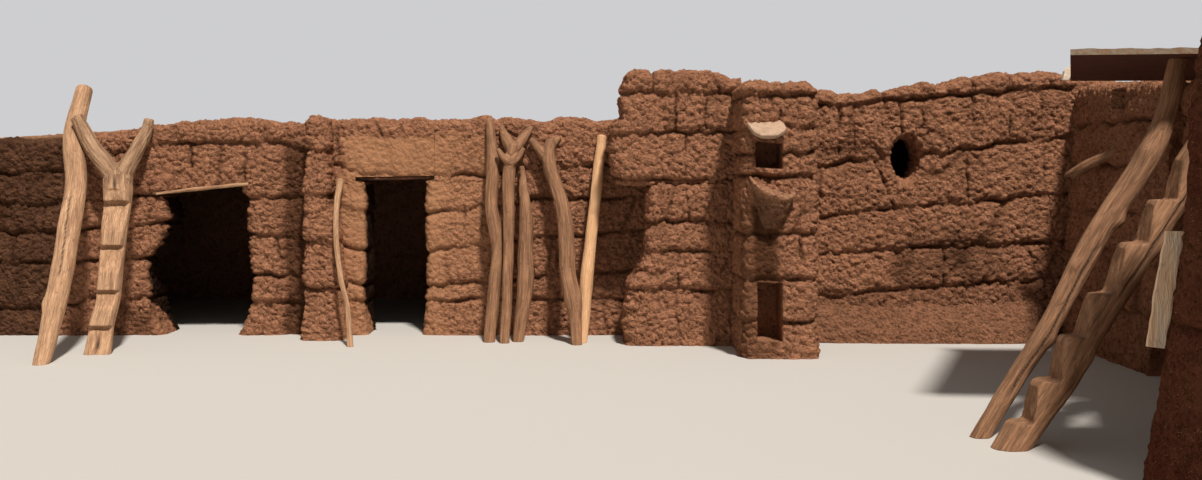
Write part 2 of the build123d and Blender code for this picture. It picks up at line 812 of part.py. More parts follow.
bearing_point = Vector(court_wall_near - bulge - seat, end_pier_back, 0)
court_side = Vector(-court_line.Y, court_line.X, 0)
with BuildPart() as right_ladder:
    slanted_trunk(right_ladder_rings)
    split(bisect_by=Plane(bearing_point, z_dir=court_side), keep=Keep.TOP)
    for tread in right_ladder_treads:
        x, y, radius = at_height(right_ladder_rings, tread)
        upper_x, _, upper_radius = at_height(right_ladder_rings, tread + notch_rise)
        wedge = [(x, tread), (x - 3 * radius, tread), (upper_x - 1.25 * upper_radius, tread + notch_rise)]
        wedge = [(court_wall_near + a, b) for a, b in wedge]
        extrude(face_on(Plane.XZ.offset(-y), wedge), amount=notch_reach, both=True, mode=Mode.SUBTRACT)
finish(right_ladder, "right_notched_ladder")
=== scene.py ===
from math import ceil, exp, hypot, pi, radians, sin

import bmesh
import bpy
from bpy.props import FloatProperty, FloatVectorProperty, PointerProperty
from mathutils import Matrix, Vector, noise
from mathutils.kdtree import KDTree


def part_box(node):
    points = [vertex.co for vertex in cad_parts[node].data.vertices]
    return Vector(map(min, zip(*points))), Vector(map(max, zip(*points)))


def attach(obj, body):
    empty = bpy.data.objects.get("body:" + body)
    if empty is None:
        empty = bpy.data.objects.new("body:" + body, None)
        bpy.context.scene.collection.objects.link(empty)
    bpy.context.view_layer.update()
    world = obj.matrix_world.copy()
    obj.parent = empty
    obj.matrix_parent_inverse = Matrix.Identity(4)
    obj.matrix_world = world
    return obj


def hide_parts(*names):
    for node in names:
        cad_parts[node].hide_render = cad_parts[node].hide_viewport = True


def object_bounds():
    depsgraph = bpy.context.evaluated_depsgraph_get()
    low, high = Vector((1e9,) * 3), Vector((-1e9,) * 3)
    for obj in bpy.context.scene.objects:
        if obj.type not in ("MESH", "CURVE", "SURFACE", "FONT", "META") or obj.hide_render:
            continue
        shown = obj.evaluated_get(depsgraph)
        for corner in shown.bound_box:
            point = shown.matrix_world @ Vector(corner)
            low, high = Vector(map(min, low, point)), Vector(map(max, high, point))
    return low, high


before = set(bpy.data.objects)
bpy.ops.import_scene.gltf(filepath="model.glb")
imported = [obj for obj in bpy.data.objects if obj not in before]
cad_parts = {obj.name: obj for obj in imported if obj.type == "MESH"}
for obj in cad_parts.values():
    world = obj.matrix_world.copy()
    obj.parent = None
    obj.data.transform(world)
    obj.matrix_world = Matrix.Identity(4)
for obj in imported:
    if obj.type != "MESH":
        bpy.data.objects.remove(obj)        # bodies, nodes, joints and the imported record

bl_info = {
    "name": "Coursed Mud House",
    "version": (1, 0, 0),
    "blender": (4, 5, 0),
    "location": "View3D > Sidebar > Mud House",
    "description": "Lays the mud, wood and clay of a coursed mud house over its CAD frame",
    "category": "Object",
}

cad_low, cad_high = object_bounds()

# Starts the noise that shifts the clods' edges. Blender would otherwise start it from the clock.
clod_seed = 1795786410


def linear(red, green, blue):
    """A colour given from 0 to 255, as the linear values that Blender keeps."""
    shares = [c / 255 for c in (red, green, blue)]
    return tuple(c / 12.92 if c < 0.04 else ((c + 0.055) / 1.055) ** 2.4 for c in shares)


def colour(title, about, *rgb):
    """A colour property with its default."""
    return FloatVectorProperty(name=title, description=about, subtype="COLOR", size=3, min=0, max=1,
                               default=linear(*rgb))


def length(title, about, default):
    """A length property in metres."""
    return FloatProperty(name=title, description=about, default=default, min=0, subtype="DISTANCE",
                         unit="LENGTH")


class MudSizes(bpy.types.PropertyGroup):
    """How the mud is laid."""
    cell: length("Cell", "Size of the facets of the court's walls", 0.014)
    far_cell: length("Far cell", "Size of the facets of the back walls and the roofs", 0.04)
    seam_depth: length("Seam depth", "Depth of the upright seams between the lumps of a course", 0.02)
    bulge: length("Bulge", "How far a course swells over the joint under it", 0.032)
    joint_depth: length("Joint depth", "Depth of the joints between courses", 0.03)
    joint_width: length("Joint width", "Half width of a joint", 0.018)
    clod: length("Clod", "Size of the clods in the mud", 0.085)
    clod_depth: length("Clod depth", "How far the clods stand out", 0.024)
    lump: length("Lump", "Size of the small lumps", 0.043)
    lump_depth: length("Lump depth", "How far the small lumps stand out", 0.018)
    worn_edge: length("Worn edge", "Radius of the walls' worn edges", 0.06)
    voxel: length("Wood facet", "Size of the facets of the trunks", 0.012)


class HouseColours(bpy.types.PropertyGroup):
    """Colours of the house."""
    mud_light: colour("Light mud", "Dry mud on the lumps", 204, 143, 109)
    mud_dark: colour("Dark mud", "Mud between the lumps", 136, 93, 70)
    # Painted shade: the colour laid into joints, seams, cracks, creases and the dips between grains, where
    # shade falls.
    mud_deep: colour("Deep mud", "Mud in joints and cracks", 62, 36, 22)
    plaster: colour("Plaster", "Smoothed mud by the right doorway", 172, 124, 90)
    # Painted shade: the court wall's pier is a darker copy of the bare mud, standing for the shade on its
    # side.
    pier_light: colour("Light pier mud", "Worn mud of the court wall's pier", 128, 74, 56)
    pier_dark: colour("Dark pier mud", "Hollows of the court wall's pier", 74, 38, 30)
    # Smoke black, also laid as painted shade inside the doorways, the niches, the pocket and the rooms.
    soot_and_shade: colour("Soot", "Sooty mud", 26, 18, 14)
    earth: colour("Roof earth", "Beaten earth of the roofs", 178, 134, 94)
    clay: colour("Fired clay", "The clay shelf", 200, 150, 116)
    stone: colour("Stone", "The flat stone over the upper niche", 204, 172, 146)
    wood_light: colour("Light wood", "Worn wood of the logs", 222, 176, 136)
    wood_dark: colour("Dark wood", "Weathered grain of the logs", 138, 100, 72)
    bark: colour("Bark", "Grey bark of the forked ladder's arms", 176, 144, 114)
    post_light: colour("Light post", "Worn wood of the posts", 190, 140, 103)
    post_dark: colour("Dark post", "Weathered grain of the posts", 104, 72, 50)
    peeled: colour("Peeled wood", "The peeled pole", 244, 196, 150)
    peeled_dark: colour("Peeled grain", "Grain of the peeled pole", 204, 152, 108)
    # Painted light: the board's colour is made paler, standing for the sun on it; the bent-up end of the
    # shade roof takes it too.
    board: colour("Board", "The ragged board", 246, 234, 214)
    sheet: colour("Roof edge", "Edges and top of the shade roof", 150, 140, 122)
    brush: colour("Branches", "Branch layer and joists", 92, 66, 44)
    # Painted shade: the dark underside of the shade roof.
    soffit: colour("Shade roof", "Underside of the shade roof", 96, 48, 32)


class HouseSettings(bpy.types.PropertyGroup):
    """All settings of the house."""
    sizes: PointerProperty(type=MudSizes)
    colours: PointerProperty(type=HouseColours)


def sizes():
    return bpy.context.scene.mud_house.sizes


def tint(name):
    """One of the house's colours with an alpha."""
    return (*getattr(bpy.context.scene.mud_house.colours, name), 1)


# Short tables and small sums

def straight(table, t):
    """Value at t on straight runs through a short table."""
    if t <= table[0][0]:
        return table[0][1]
    for (t0, v0), (t1, v1) in zip(table, table[1:]):
        if t <= t1:
            return v0 + (v1 - v0) * (t - t0) / (t1 - t0)
    return table[-1][1]


def flowing(table, t):
    """Value at t on a smooth curve through a short table."""
    last = len(table) - 1
    if t <= table[0][0]:
        return table[0][1]
    if t >= table[last][0]:
        return table[last][1]
    i = next(k for k in range(last) if t <= table[k + 1][0])
    (t0, v0), (t1, v1) = table[i], table[i + 1]
    before, after = table[max(i - 1, 0)], table[min(i + 2, last)]
    run = t1 - t0
    lean0 = (v1 - before[1]) / (t1 - before[0])
    lean1 = (after[1] - v0) / (after[0] - t0)
    s = (t - t0) / run
    return ((2 * s ** 3 - 3 * s ** 2 + 1) * v0 + (s ** 3 - 2 * s ** 2 + s) * run * lean0
            + (3 * s ** 2 - 2 * s ** 3) * v1 + (s ** 3 - s ** 2) * run * lean1)


def rise(value, low, high):
    """0 under low, 1 over high, and a smooth step between them."""
    share = min(1, max(0, (value - low) / (high - low)))
    return share * share * (3 - 2 * share)


def at(thing, *place):
    """A size that may be a number or a function of a place."""
    return thing(*place) if callable(thing) else thing


def ripple(x, size, row=0):
    """A smooth wander between -1 and 1 along a line."""
    return noise.noise(Vector((x / size, row * 7.3, row * 3.1)))


def in_box(place):
    """The place, kept inside the CAD model's box."""
    return Vector([min(high, max(low, c)) for c, low, high in zip(place, cad_low, cad_high)])


# Pieces

def new_piece(name, bm, slot, *nodes):
    """An object from a bmesh, riding on the house and standing for its CAD nodes."""
    for vert in bm.verts:
        vert.co = in_box(vert.co)
    mesh = bpy.data.meshes.new(name)
    bm.to_mesh(mesh)
    bm.free()
    piece = bpy.data.objects.new(name, mesh)
    bpy.context.scene.collection.objects.link(piece)
    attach(piece, "root")
    if nodes:
        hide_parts(*nodes)
    return piece


def coat(piece, material):
    """Give a piece its material, and the dark inner mud, painted shade of the rooms, to the flat faces of its
    walls.
    """
    piece.data.materials.clear()
    piece.data.materials.append(material)
    if any(p.material_index for p in piece.data.polygons):
        piece.data.materials.append(inner_painted_shade_mud())


def paint_node(name, material):
    """Give a CAD node a material."""
    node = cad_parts[name]
    if not node.material_slots:
        node.data.materials.append(material)
    for slot in node.material_slots:
        slot.material = material


def push(bm, faces, step):
    """Extrude faces of a bmesh by a step."""
    made = bmesh.ops.extrude_face_region(bm, geom=faces)["geom"]
    bmesh.ops.translate(bm, verts=[v for v in made if isinstance(v, bmesh.types.BMVert)], vec=step)


def slab(corners, step):
    """A bmesh of an outline pushed out by a step."""
    bm = bmesh.new()
    push(bm, [bm.faces.new([bm.verts.new(corner) for corner in corners])], step)
    return bm


# Mud

class Run:
    """A straight run of mud wall. Places on it are measured along it, inwards from its outer face, and up.

    origin is a point under the outer face, heading the direction of the run as seen from outside.
    left, right, bottom and top may be numbers or functions, and rounds holds the radius of each worn edge:
    a side without one is flat and hidden.
    """

    def __init__(self, origin, heading, left, right, top, thick, rounds, bottom=0, front=0, joints=(),
                 cracks=(), cell=None, deep=None, nominal=None, rough=1):
        self.origin = Vector((*origin, 0))
        self.along = Vector((*heading, 0)).normalized()
        self.inward = Vector((-self.along.y, self.along.x, 0))
        self.left, self.right, self.bottom, self.top = left, right, bottom, top
        self.thick, self.rounds, self.front = thick, rounds, front
        self.joints, self.cracks = joints, cracks
        self.cell = (cell or sizes().cell) * 1
        self.deep = (deep or 1.3 * self.cell) * 1
        self.nominal = nominal or (at(left, 0), at(right, 0))
        self.rough = rough
        self.known = {}

    def place(self, u, d, z):
        """A place on the run in the house's frame."""
        return self.origin + self.along * u + self.inward * d + Vector((0, 0, z))

    def joints_at(self, u):
        """Heights of the joints at a place along the run."""
        key = round(u, 2)
        if key not in self.known:
            heights = []
            for row, joint in enumerate(self.joints):
                height = straight(joint, u) if isinstance(joint, (list, tuple)) else joint
                world = self.place(key, 0, 0)
                run = world.x + world.y
                hang = 0.058 * abs(ripple(run, 0.19, row + 9)) - 0.012
                heights.append(height + 0.022 * ripple(run, 0.5, row + 1) - hang)
            self.known[key] = heights
        return self.known[key]


def bell(x):
    """1 at 0, and falling to 0 on both sides of it."""
    return exp(-x ** 2)


def clod_relief(place, bare):
    """How far the clods and small lumps stand out at a place, and how much painted shade their creases get.
    """
    size = sizes()
    flat = Vector((place.x, place.y, 1.3 * place.z))
    crease = clod_crease(flat, size.clod)
    clods = 1 - (1 - min(1, crease / 0.45)) ** 2
    lumps = abs(noise.noise(flat / size.lump))
    out = 0.016 * noise.noise(place / 0.26)
    out += (size.clod_depth * (clods - 0.6) + size.lump_depth * (lumps - 0.2)) * bare
    # worn sets how strongly the creases get painted shade, varying from place to place.
    worn = 0.3 + 0.7 * rise(noise.noise(place / 0.3), -0.3, 0.3)
    return out, (0.5 * worn * bell(crease / 0.07) + 0.2 * bell(lumps / 0.06)) * bare


def course_relief(run, place, u, z, upright, smooth):
    """How far a course stands out at a place, less its seams and joint, and how much painted shade those get.
    """
    size = sizes()
    lines = run.joints_at(u)
    under_it = [line for line in lines if line <= z]
    foot = max([-0.12] + under_it)
    head = min([at(run.top, u) + 0.12] + [line for line in lines if line > z])
    nearest = min(range(len(lines)), key=lambda row: abs(z - lines[row]))
    share = min(1, max(0, (z - foot) / max(0.02, head - foot)))
    firm = (1 - 0.3 * smooth) * upright
    world = place.x + place.y
    row = len(under_it)
    seam = bell(noise.noise(Vector((world / 0.4, row * 5.7, z / 0.8))) / 0.05)
    seam *= rise(ripple(world, 0.7, row + 40), -0.25, 0.2) * upright * (1 - 0.6 * smooth)
    width = size.joint_width * (1 + 0.35 * ripple(world, 0.12, nearest + 20))
    depth = min(1.2, max(0.1, 0.66 + 1.7 * ripple(world, 0.26, nearest + 30)))
    groove = bell((z - lines[nearest]) / width) * depth * firm
    out = size.bulge * belly(share) * firm - size.seam_depth * seam - size.joint_depth * groove
    return out, max(0.55 * seam, 0.75 * groove)


def crack_relief(run, u, z):
    """How deep the cracks of a run lie at a place, and how much painted shade they get."""
    out = dark = 0
    margin = 0.03
    for u0, z0, u1, z1, width, depth in run.cracks:
        share = min(1, max(0, (z - z0) / (z1 - z0)))
        off = u - (u0 + (u1 - u0) * share) - 0.016 * ripple(z + u0, 0.07, 3)
        if z0 - margin < z < z1 + margin and abs(off) < 3 * width:
            fade = min(1, (z - z0 + margin) / 0.05, (z1 + margin - z) / 0.05)
            cut = bell(off / width) * fade
            cut *= min(1, max(0.1, 0.8 + 1.6 * ripple(z + u0, 0.13, 8)))
            out -= 1.3 * depth * cut
            dark = max(dark, cut * min(0.9, depth / 0.022))
    return out, dark


def relief(run, place, u, z, upright):
    """How far the mud stands out at a place, and how much painted shade it gets there."""
    smooth = smooth_mud(place)
    # The second layer is the recess left of the buttress, with its painted shadow.
    layers = [clod_relief(place, 1 - 0.6 * smooth), (-buttress_shade(place), stained(place)),
              crack_relief(run, u, z)]
    if upright > 0.2 and run.joints:
        layers.append(course_relief(run, place, u, z, upright, smooth))
    out = sum(step for step, _ in layers)
    return out * run.rough, min(1, max(dark for _, dark in layers))


def clod_crease(place, clod):
    """How far a place lies from the crease between two clods, as a share of a clod."""
    nearest, second = noise.voronoi(place / clod + 0.35 * noise.noise_vector(place / (0.7 * clod)))[0][:2]
    return second - nearest


def buttress_shade(place):
    """How far the wall lies back close to the left of the buttress."""
    if not 1.1 < place.y < 1.3:
        return 0
    return 0.06 * rise(place.x, -2.27, -2.16) * (1 - rise(place.x, -1.86, -1.8))


def belly(share):
    """A course's swell from its foot, 0, to its top, 1: it hangs out low and leans back above."""
    if share < 0.2:
        return (1 - (1 - share / 0.2) ** 2) ** 0.5
    return 1 - 0.7 * ((share - 0.2) / 0.8) ** 1.5


def smooth_mud(place):
    """1 where the mud is plastered smooth, 0 where its courses are bare."""
    ragged = 0.1 * noise.noise(place / 0.15)
    x, z = place.x + ragged, place.z + ragged
    if place.y < -0.1 and 1.85 < x < 2.3:
        return 0.25 * (1 - rise(x, 2.16, 2.24)) * (1 - rise(z, 1.2, 1.3))
    if not 0.9 < place.y < 1.7 or place.x > 0.2:
        return 0
    near_door = rise(x, -1.72, -1.6) * (1 - rise(x, -0.35, 0.05)) * (1 - rise(z, 1.82, 1.9))
    return near_door * (0.92 - 0.45 * rise(x, -0.8, -0.6) - 0.25 * (1 - rise(z, 0.5, 0.9)))


def inside(place, low, high):
    """Whether a place lies between two corners."""
    return all(a < c < b for c, a, b in zip(place, low, high))


doorway_boxes = [((-3.6, 1.15, -1), (-2.42, 1.7, 1.45)), ((-1.6, 1.15, -1), (-0.8, 1.7, 1.45))]
niche_boxes = [((1.98, -0.12, 0.11), (2.26, 0.25, 0.65)), ((1.98, -0.12, 1.53), (2.26, 0.25, 1.8))]
pocket_box = ((5.06, -0.2, 1.95), (5.4, 0.13, 2.22))


def sooty(place):
    """How black the mud is: smoke black on the left walls and on the vent wall, and painted shade inside the
    doorways, the niches and the pocket.
    """
    x, y, z = place
    # Painted shade inside the doorways, the niches and the pocket.
    if any(inside(place, *box) for box in doorway_boxes):
        threshold = 0.25 * (1 - rise(z, 0.1, 0.36))
        return rise(y - threshold, 1.2, 1.25)
    if any(inside(place, *box) for box in niche_boxes):
        return 0.8 * rise(y, -0.1, 0.02)
    if inside(place, *pocket_box):
        return rise(x, 5.04, 5.09)
    if 0.9 < y < 1.7 and x < -3.5:
        edge = 0.16 * (1.9 - z)
        black = rise(-x, 3.9 + edge + 0.06 * noise.noise(place / 0.12), 4.12 + edge)
        return black * (0.74 + 0.14 * noise.noise(place / 0.1))
    if x < -5.3 and y < 2.6:
        return 0.8 * rise(2.6 - y + 0.3 * noise.noise(place / 0.2), 0.2, 0.9)
    if x > 2.5 and 0.6 < y < 1.2:
        patch = rise(0.75 - hypot(x - 3.9, 2 * (z - 0.75)), 0, 0.5)
        patch *= 0.5 + 0.5 * noise.noise(place / 0.2)
        return 0.85 * patch + 0.3 * rise(0.62 - z, 0, 0.3)
    return 0


def stained(place):
    """Painted shadow: how much darker the mud is painted left of the buttress, where its shadow falls, and on
    the pier's smooth lower part under the clay shelf.
    """
    x, y, z = place
    if 1.1 < y < 1.3 and -2.3 < x < -1.85:
        return 0.75 * rise(x + 0.03 * ripple(z, 0.2, 5), -2.24, -2.16) * rise(1.9 - z, 0, 0.2)
    if -0.22 < y < -0.05 and x < 2.26:
        whole = 0.55 * (1 - rise(x, 2.14, 2.24)) * (1 - rise(z, 1.2, 1.32))
        shelf_shadow = rise(x, 1.96, 2.02) * (1 - rise(x, 2.17, 2.23))
        return whole + 0.3 * shelf_shadow * rise(z, 0.5, 0.7) * (1 - rise(z, 1.2, 1.3))
    return 0


def gridded_cube(across, deep, tall):
    """A bmesh of a unit cube whose sides are cut into a grid."""
    bm = bmesh.new()
    bmesh.ops.create_cube(bm, size=1, matrix=Matrix.Translation((0.5, 0.5, 0.5)))
    for axis, count in enumerate((across, deep, tall)):
        if count > 1:
            edges = [e for e in bm.edges if abs((e.verts[0].co - e.verts[1].co)[axis]) > 0.5]
            bmesh.ops.subdivide_edges(bm, edges=edges, cuts=count - 1, use_grid_fill=True)
    return bm


def flatten_hidden(bm, rounds):
    """Make each hidden side of the gridded cube one face."""
    sides = {"left": (0, 0), "right": (0, 1), "back": (1, 1), "bottom": (2, 0), "top": (2, 1)}
    for side, (axis, end) in sides.items():
        if side not in rounds:
            faces = [f for f in bm.faces if all(abs(v.co[axis] - end) < 1e-5 for v in f.verts)]
            if len(faces) > 1:
                bmesh.ops.dissolve_faces(bm, faces=faces)
    for face in bm.faces:
        face.smooth = len(face.verts) < 5
        face.material_index = 0 if face.smooth else 1
    for edge in bm.edges:
        edge.smooth = all(f.smooth for f in edge.link_faces)


def lay_run(run, prepare=None):
    """The bmesh of one run of mud, with worn edges, joints, cracks and clods."""
    u0, u1 = run.nominal
    tallest = max(at(run.top, u0 + (u1 - u0) * i / 8) for i in range(9))
    across = ceil((u1 - u0) / run.cell)
    deep = ceil(run.thick / run.deep)
    tall = ceil((tallest - at(run.bottom, u0)) / run.cell)
    bm = gridded_cube(across, deep, tall)
    flatten_hidden(bm, run.rounds)
    if prepare:
        prepare(bm)
    for name in ("painted_shade", "soot_and_shade", "smooth_mud"):
        bm.verts.layers.float.new(name)
    painted_shade, soot_and_shade, smooth = (bm.verts.layers.float[n] for n in ("painted_shade", "soot_and_shade", "smooth_mud"))
    for vert in bm.verts:
        s, t, w = vert.co
        u = u0 + s * (u1 - u0)
        floor, roof = at(run.bottom, u), at(run.top, u)
        z = floor + w * (roof - floor)
        left, right = at(run.left, z), at(run.right, z)
        u = left + s * (right - left)
        front = at(run.front, u, z)
        d = front + t * (run.thick - front)
        reach = Vector((edge_reach(run, "right", z, right - u) - edge_reach(run, "left", z, u - left),
                        edge_reach(run, "back", z, run.thick - d) - edge_reach(run, "front", z, d - front),
                        edge_reach(run, "top", z, roof - z) - edge_reach(run, "bottom", z, z - floor)))
        size = reach.length
        if size < 0.999:
            vert.co = run.place(u, d, z)
            continue
        radius = Vector((edge_radius(run, "right" if reach.x > 0 else "left", z),
                         edge_radius(run, "back" if reach.y > 0 else "front", z),
                         edge_radius(run, "top" if reach.z > 0 else "bottom", z)))
        turned = reach / size
        u += radius.x * (turned.x - reach.x)
        d += radius.y * (turned.y - reach.y)
        z += radius.z * (turned.z - reach.z)
        normal = Vector([n / r if r else 0 for n, r in zip(turned, radius)]).normalized()
        place = run.place(u, d, z)
        out, depth = relief(run, place, u, z, 1 - abs(normal.z))
        normal = run.along * normal.x + run.inward * normal.y + Vector((0, 0, normal.z))
        vert.co = place + normal * out
        # depth is the painted shade of the mud here.
        vert[painted_shade] = depth
        vert[soot_and_shade] = sooty(place)
        vert[smooth] = smooth_mud(place)
    return bm


def edge_radius(run, side, z):
    """Radius of a run's worn edge at a height."""
    return at(run.rounds.get(side, 0), z)


def edge_reach(run, side, z, distance):
    """How far a place lies in the rounded band along one side, from 0 to 1 on the side itself."""
    radius = edge_radius(run, side, z)
    return max(0, 1 - distance / radius) if radius else 0


def joined(parts):
    """One bmesh from several."""
    whole = parts[0]
    for part in parts[1:]:
        mesh = bpy.data.meshes.new("part")
        part.to_mesh(mesh)
        part.free()
        whole.from_mesh(mesh)
        bpy.data.meshes.remove(mesh)
    return whole


def mud_piece(name, runs, nodes=None, slot="coursed_mud", looks=None):
    """A piece laid from one or more runs."""
    piece = new_piece(name, joined([lay_run(run) for run in runs]), slot,
                      *(nodes or [name.replace("laid_", "")]))
    coat(piece, looks or bare_mud())
    return piece


# Low block. The doorways' jamb tables give X against height, those of joints and tops height against X.
low_face, low_thick, house_left, side_face = 1.19, 0.4, -5.55, 1.2
low_tops = [(-5.55, 1.82), (-4.1, 1.84), (-3.39, 1.94), (-2.7, 2.03), (-2.1, 1.97), (-1.6, 2.014),
            (-0.4, 2.012),
            (1.2, 1.996)]
low_joints = [
    [(-5.55, 0.24), (-4.3, 0.24), (-4, 0.343), (-3.3, 0.343), (-2.45, 0.297), (-1.4, 0.32), (0, 0.33),
     (1.2, 0.33)],
    [(-5.55, 0.668), (-4.3, 0.668), (-3.3, 0.696), (-2.45, 0.548), (-1.9, 0.548), (-1.45, 0.45),
     (-0.85, 0.45),
     (1.2, 0.6)],
    [(-5.55, 0.956), (-4.3, 0.956), (-3.3, 1.04), (-2.45, 0.91), (-1.9, 0.91), (-1.45, 0.78), (-0.85, 0.78),
     (0.2, 0.9), (1.2, 0.975)],
    [(-5.55, 1.225), (-4.3, 1.225), (-3.3, 1.318), (-2.45, 1.262), (-1.9, 1.262), (-1.45, 1.142),
     (-0.85, 1.142),
     (0.2, 1.25), (1.2, 1.3)],
    [(-5.55, 1.513), (-4.2, 1.513), (-3.8, 1.66), (-3.3, 1.773), (-2.2, 1.773), (-1.9, 1.66), (-1.45, 1.494),
     (-0.85, 1.457), (0.2, 1.56), (1.2, 1.587)]]
low_cracks = [(-3.046, 1.42, -3.046, 1.77, 0.014, 0.024), (-2.554, 1.42, -2.554, 1.77, 0.014, 0.024),
              (-3.75, 1.05, -3.72, 1.3, 0.012, 0.016), (-2.2, 0.56, -2.25, 0.9, 0.014, 0.018),
              (-0.5, 0.92, -0.52, 1.2, 0.012, 0.014), (0.35, 0.62, 0.33, 0.93, 0.012, 0.016),
              (-4.7, 0.68, -4.68, 0.95, 0.012, 0.018), (-5.1, 1.23, -5.14, 1.5, 0.012, 0.018)]
left_jamb = [(0, -3.33), (0.129, -3.391), (0.315, -3.438), (0.547, -3.475), (0.751, -3.438), (0.844, -3.354),
             (0.984, -3.289), (1.188, -3.298), (1.309, -3.345)]
middle_jamb = [(0, -2.6), (0.092, -2.537), (0.315, -2.481), (0.473, -2.463), (0.751, -2.491), (1.039, -2.518),
               (1.244, -2.528), (1.395, -2.574)]
second_jamb = [(0, -1.44), (0.3, -1.462), (0.8, -1.446), (1.435, -1.45)]
last_jamb = [(0, -0.88), (0.3, -0.862), (0.8, -0.87), (1.445, -0.875)]


def low_top(x):
    """Height of the low wall's top with its lumps."""
    return straight(low_tops, x) + 0.05 * abs(ripple(x, 0.19, 5)) + 0.012 * ripple(x, 0.08, 6) - 0.02


def jamb(table, head, seat):
    """A doorway's side: smooth up to the lintel's bed, and set back over it."""
    def side(z):
        return flowing(table, z) if z < head else seat
    return side


def under(head, radius):
    """A worn edge up to a height."""
    return lambda z: radius if z < head - 0.02 else 0


class MUD_OT_low_front_walls(bpy.types.Operator):
    """Lay the low block's front wall in stretches beside and over its two doorways"""
    bl_idname = "mudhouse.low_front_walls"
    bl_label = "Low front walls"

    def execute(self, context):
        edge = sizes().worn_edge
        base = dict(origin=(0, low_face), heading=(1, 0), thick=low_thick, joints=low_joints,
                    cracks=low_cracks)
        jamb_edge = 0.055
        runs = {
            "left": Run(left=house_left + 0.03, right=jamb(left_jamb, 1.29, -3.425), top=low_top,
                        rounds={"front": edge, "left": edge, "right": under(1.29, jamb_edge), "top": edge},
                        nominal=(house_left, -3.38), **base),
            "middle": Run(left=jamb(middle_jamb, 1.4, -2.494), right=jamb(second_jamb, 1.42, -1.53),
                          top=low_top,
                          rounds={"front": edge, "left": under(1.4, jamb_edge),
                                  "right": under(1.42, jamb_edge),
                                  "top": edge}, nominal=(-2.52, -1.46), **base),
            "right": Run(left=jamb(last_jamb, 1.43, -0.795), right=side_face - 0.03, top=low_top,
                         rounds={"front": edge, "left": under(1.43, jamb_edge), "top": edge},
                         nominal=(-0.86, 1.17), **base)}
        for name, run in runs.items():
            mud_piece("laid_low_front_wall_" + name, [run],
                      slot="sooty_mud" if name == "left" else "coursed_mud")
        over = {"left": (-3.425, -2.494, 1.325, 1.425), "right": (-1.53, -0.795, 1.466, 1.478)}
        for name, (x0, x1, z0, z1) in over.items():
            head = [(x0, z0), (x1, z1)]
            run = Run(left=x0, right=x1, top=low_top, bottom=lambda x, head=head: straight(head, x),
                      rounds={"front": edge, "top": edge}, **base)
            mud_piece(f"laid_wall_over_{name}_doorway", [run])
        return {"FINISHED"}


class MUD_OT_low_back_walls(bpy.types.Operator):
    """Lay the low block's back wall and its left end wall"""
    bl_idname = "mudhouse.low_back_walls"
    bl_label = "Low back and end walls"

    def execute(self, context):
        far = sizes().far_cell
        edge = sizes().worn_edge
        tops = [(-1.2, 1.965), (1.8, 1.95), (3.39, 1.925), (5.55, 1.84)]
        back = Run(origin=(0, 4.62), heading=(-1, 0), left=-side_face + 0.03, right=5.52,
                   top=lambda u: straight(tops, u) + 0.02 * ripple(u, 0.3, 4) - 0.01, thick=0.4,
                   rounds={"front": edge, "right": edge, "top": edge}, joints=[0.32, 0.67, 1.0, 1.33, 1.7],
                   cell=far, deep=0.04)
        mud_piece("laid_low_back_wall", [back])
        end = Run(origin=(-5.52, 0), heading=(0, -1), left=-4.22, right=-1.5904,
                  top=lambda u: 1.815 + 0.015 * ripple(u, 0.3, 2), thick=0.4,
                  rounds={"front": edge, "top": edge},
                  joints=[0.3, 0.66, 0.98, 1.3, 1.6], cell=far, deep=0.04)
        mud_piece("laid_low_end_wall", [end])
        return {"FINISHED"}


class MUD_OT_low_roof(bpy.types.Operator):
    """Spread the low block's beaten earth over its branches"""
    bl_idname = "mudhouse.low_roof"
    bl_label = "Low roof"

    def execute(self, context):
        tops = [(-5.55, 1.795), (-3.39, 1.925), (1.2, 1.945)]
        far = sizes().far_cell
        roof = Run(origin=(0, 1.3903), heading=(1, 0), left=-5.3497, right=1.1697,
                   top=lambda x: straight(tops, x) + 0.01 * ripple(x, 0.5, 8), thick=3.0297, bottom=1.7462,
                   rounds={"front": 0.0, "top": 0.02}, cell=far, deep=far, rough=0.8)
        piece = new_piece("low_roof_beaten_earth", lay_run(roof), "roof_earth", "low_roof_earth")
        coat(piece, earth_material())
        paint_node("low_roof_joists", brush_material())
        paint_node("low_roof_branches", brush_material())
        return {"FINISHED"}


# High block
high_face, vent_face, corner = 0.55, 0.85, 5.05
pier_left, pier_right, pier_face = 1.895, 2.53, -0.15
high_joints = [0.485, 0.816, 1.078, 1.445, 1.856, 2.205]
slope_joints = [[(pier_right, a), (corner, b)] for a, b in
                [(0.39, 0.57), (0.768, 0.894), (1.1, 1.334), (1.55, 1.829), (2.09, 2.29)]]
slope_tops = [(2.53, 2.296), (2.89, 2.233), (3.319, 2.262), (3.556, 2.323), (3.82, 2.323), (3.999, 2.377),
              (4.445, 2.413), (4.85, 2.44), (5.05, 2.35)]
slope_cracks = [(2.88, 1.66, 2.9, 2.1, 0.014, 0.024), (3.03, 1.6, 3.02, 1.95, 0.012, 0.018),
                (3.447, 1.86, 3.44, 2.13, 0.013, 0.022), (3.645, 1.9, 3.63, 2.3, 0.014, 0.028),
                (4.094, 1.75, 4.09, 2.36, 0.014, 0.026), (4.427, 1.78, 4.42, 2.4, 0.013, 0.02),
                (3.38, 1.2, 3.22, 1.6, 0.015, 0.028), (4.04, 1.27, 4.03, 1.7, 0.013, 0.022),
                (3.82, 0.5, 3.83, 0.83, 0.012, 0.02), (3.3, 2.08, 3.28, 2.27, 0.014, 0.026),
                (4.7, 1.78, 4.71, 2.25, 0.012, 0.018)]
vent_x, vent_z, vent_half_width, vent_half_height = 3.488, 1.636, 0.131, 0.193


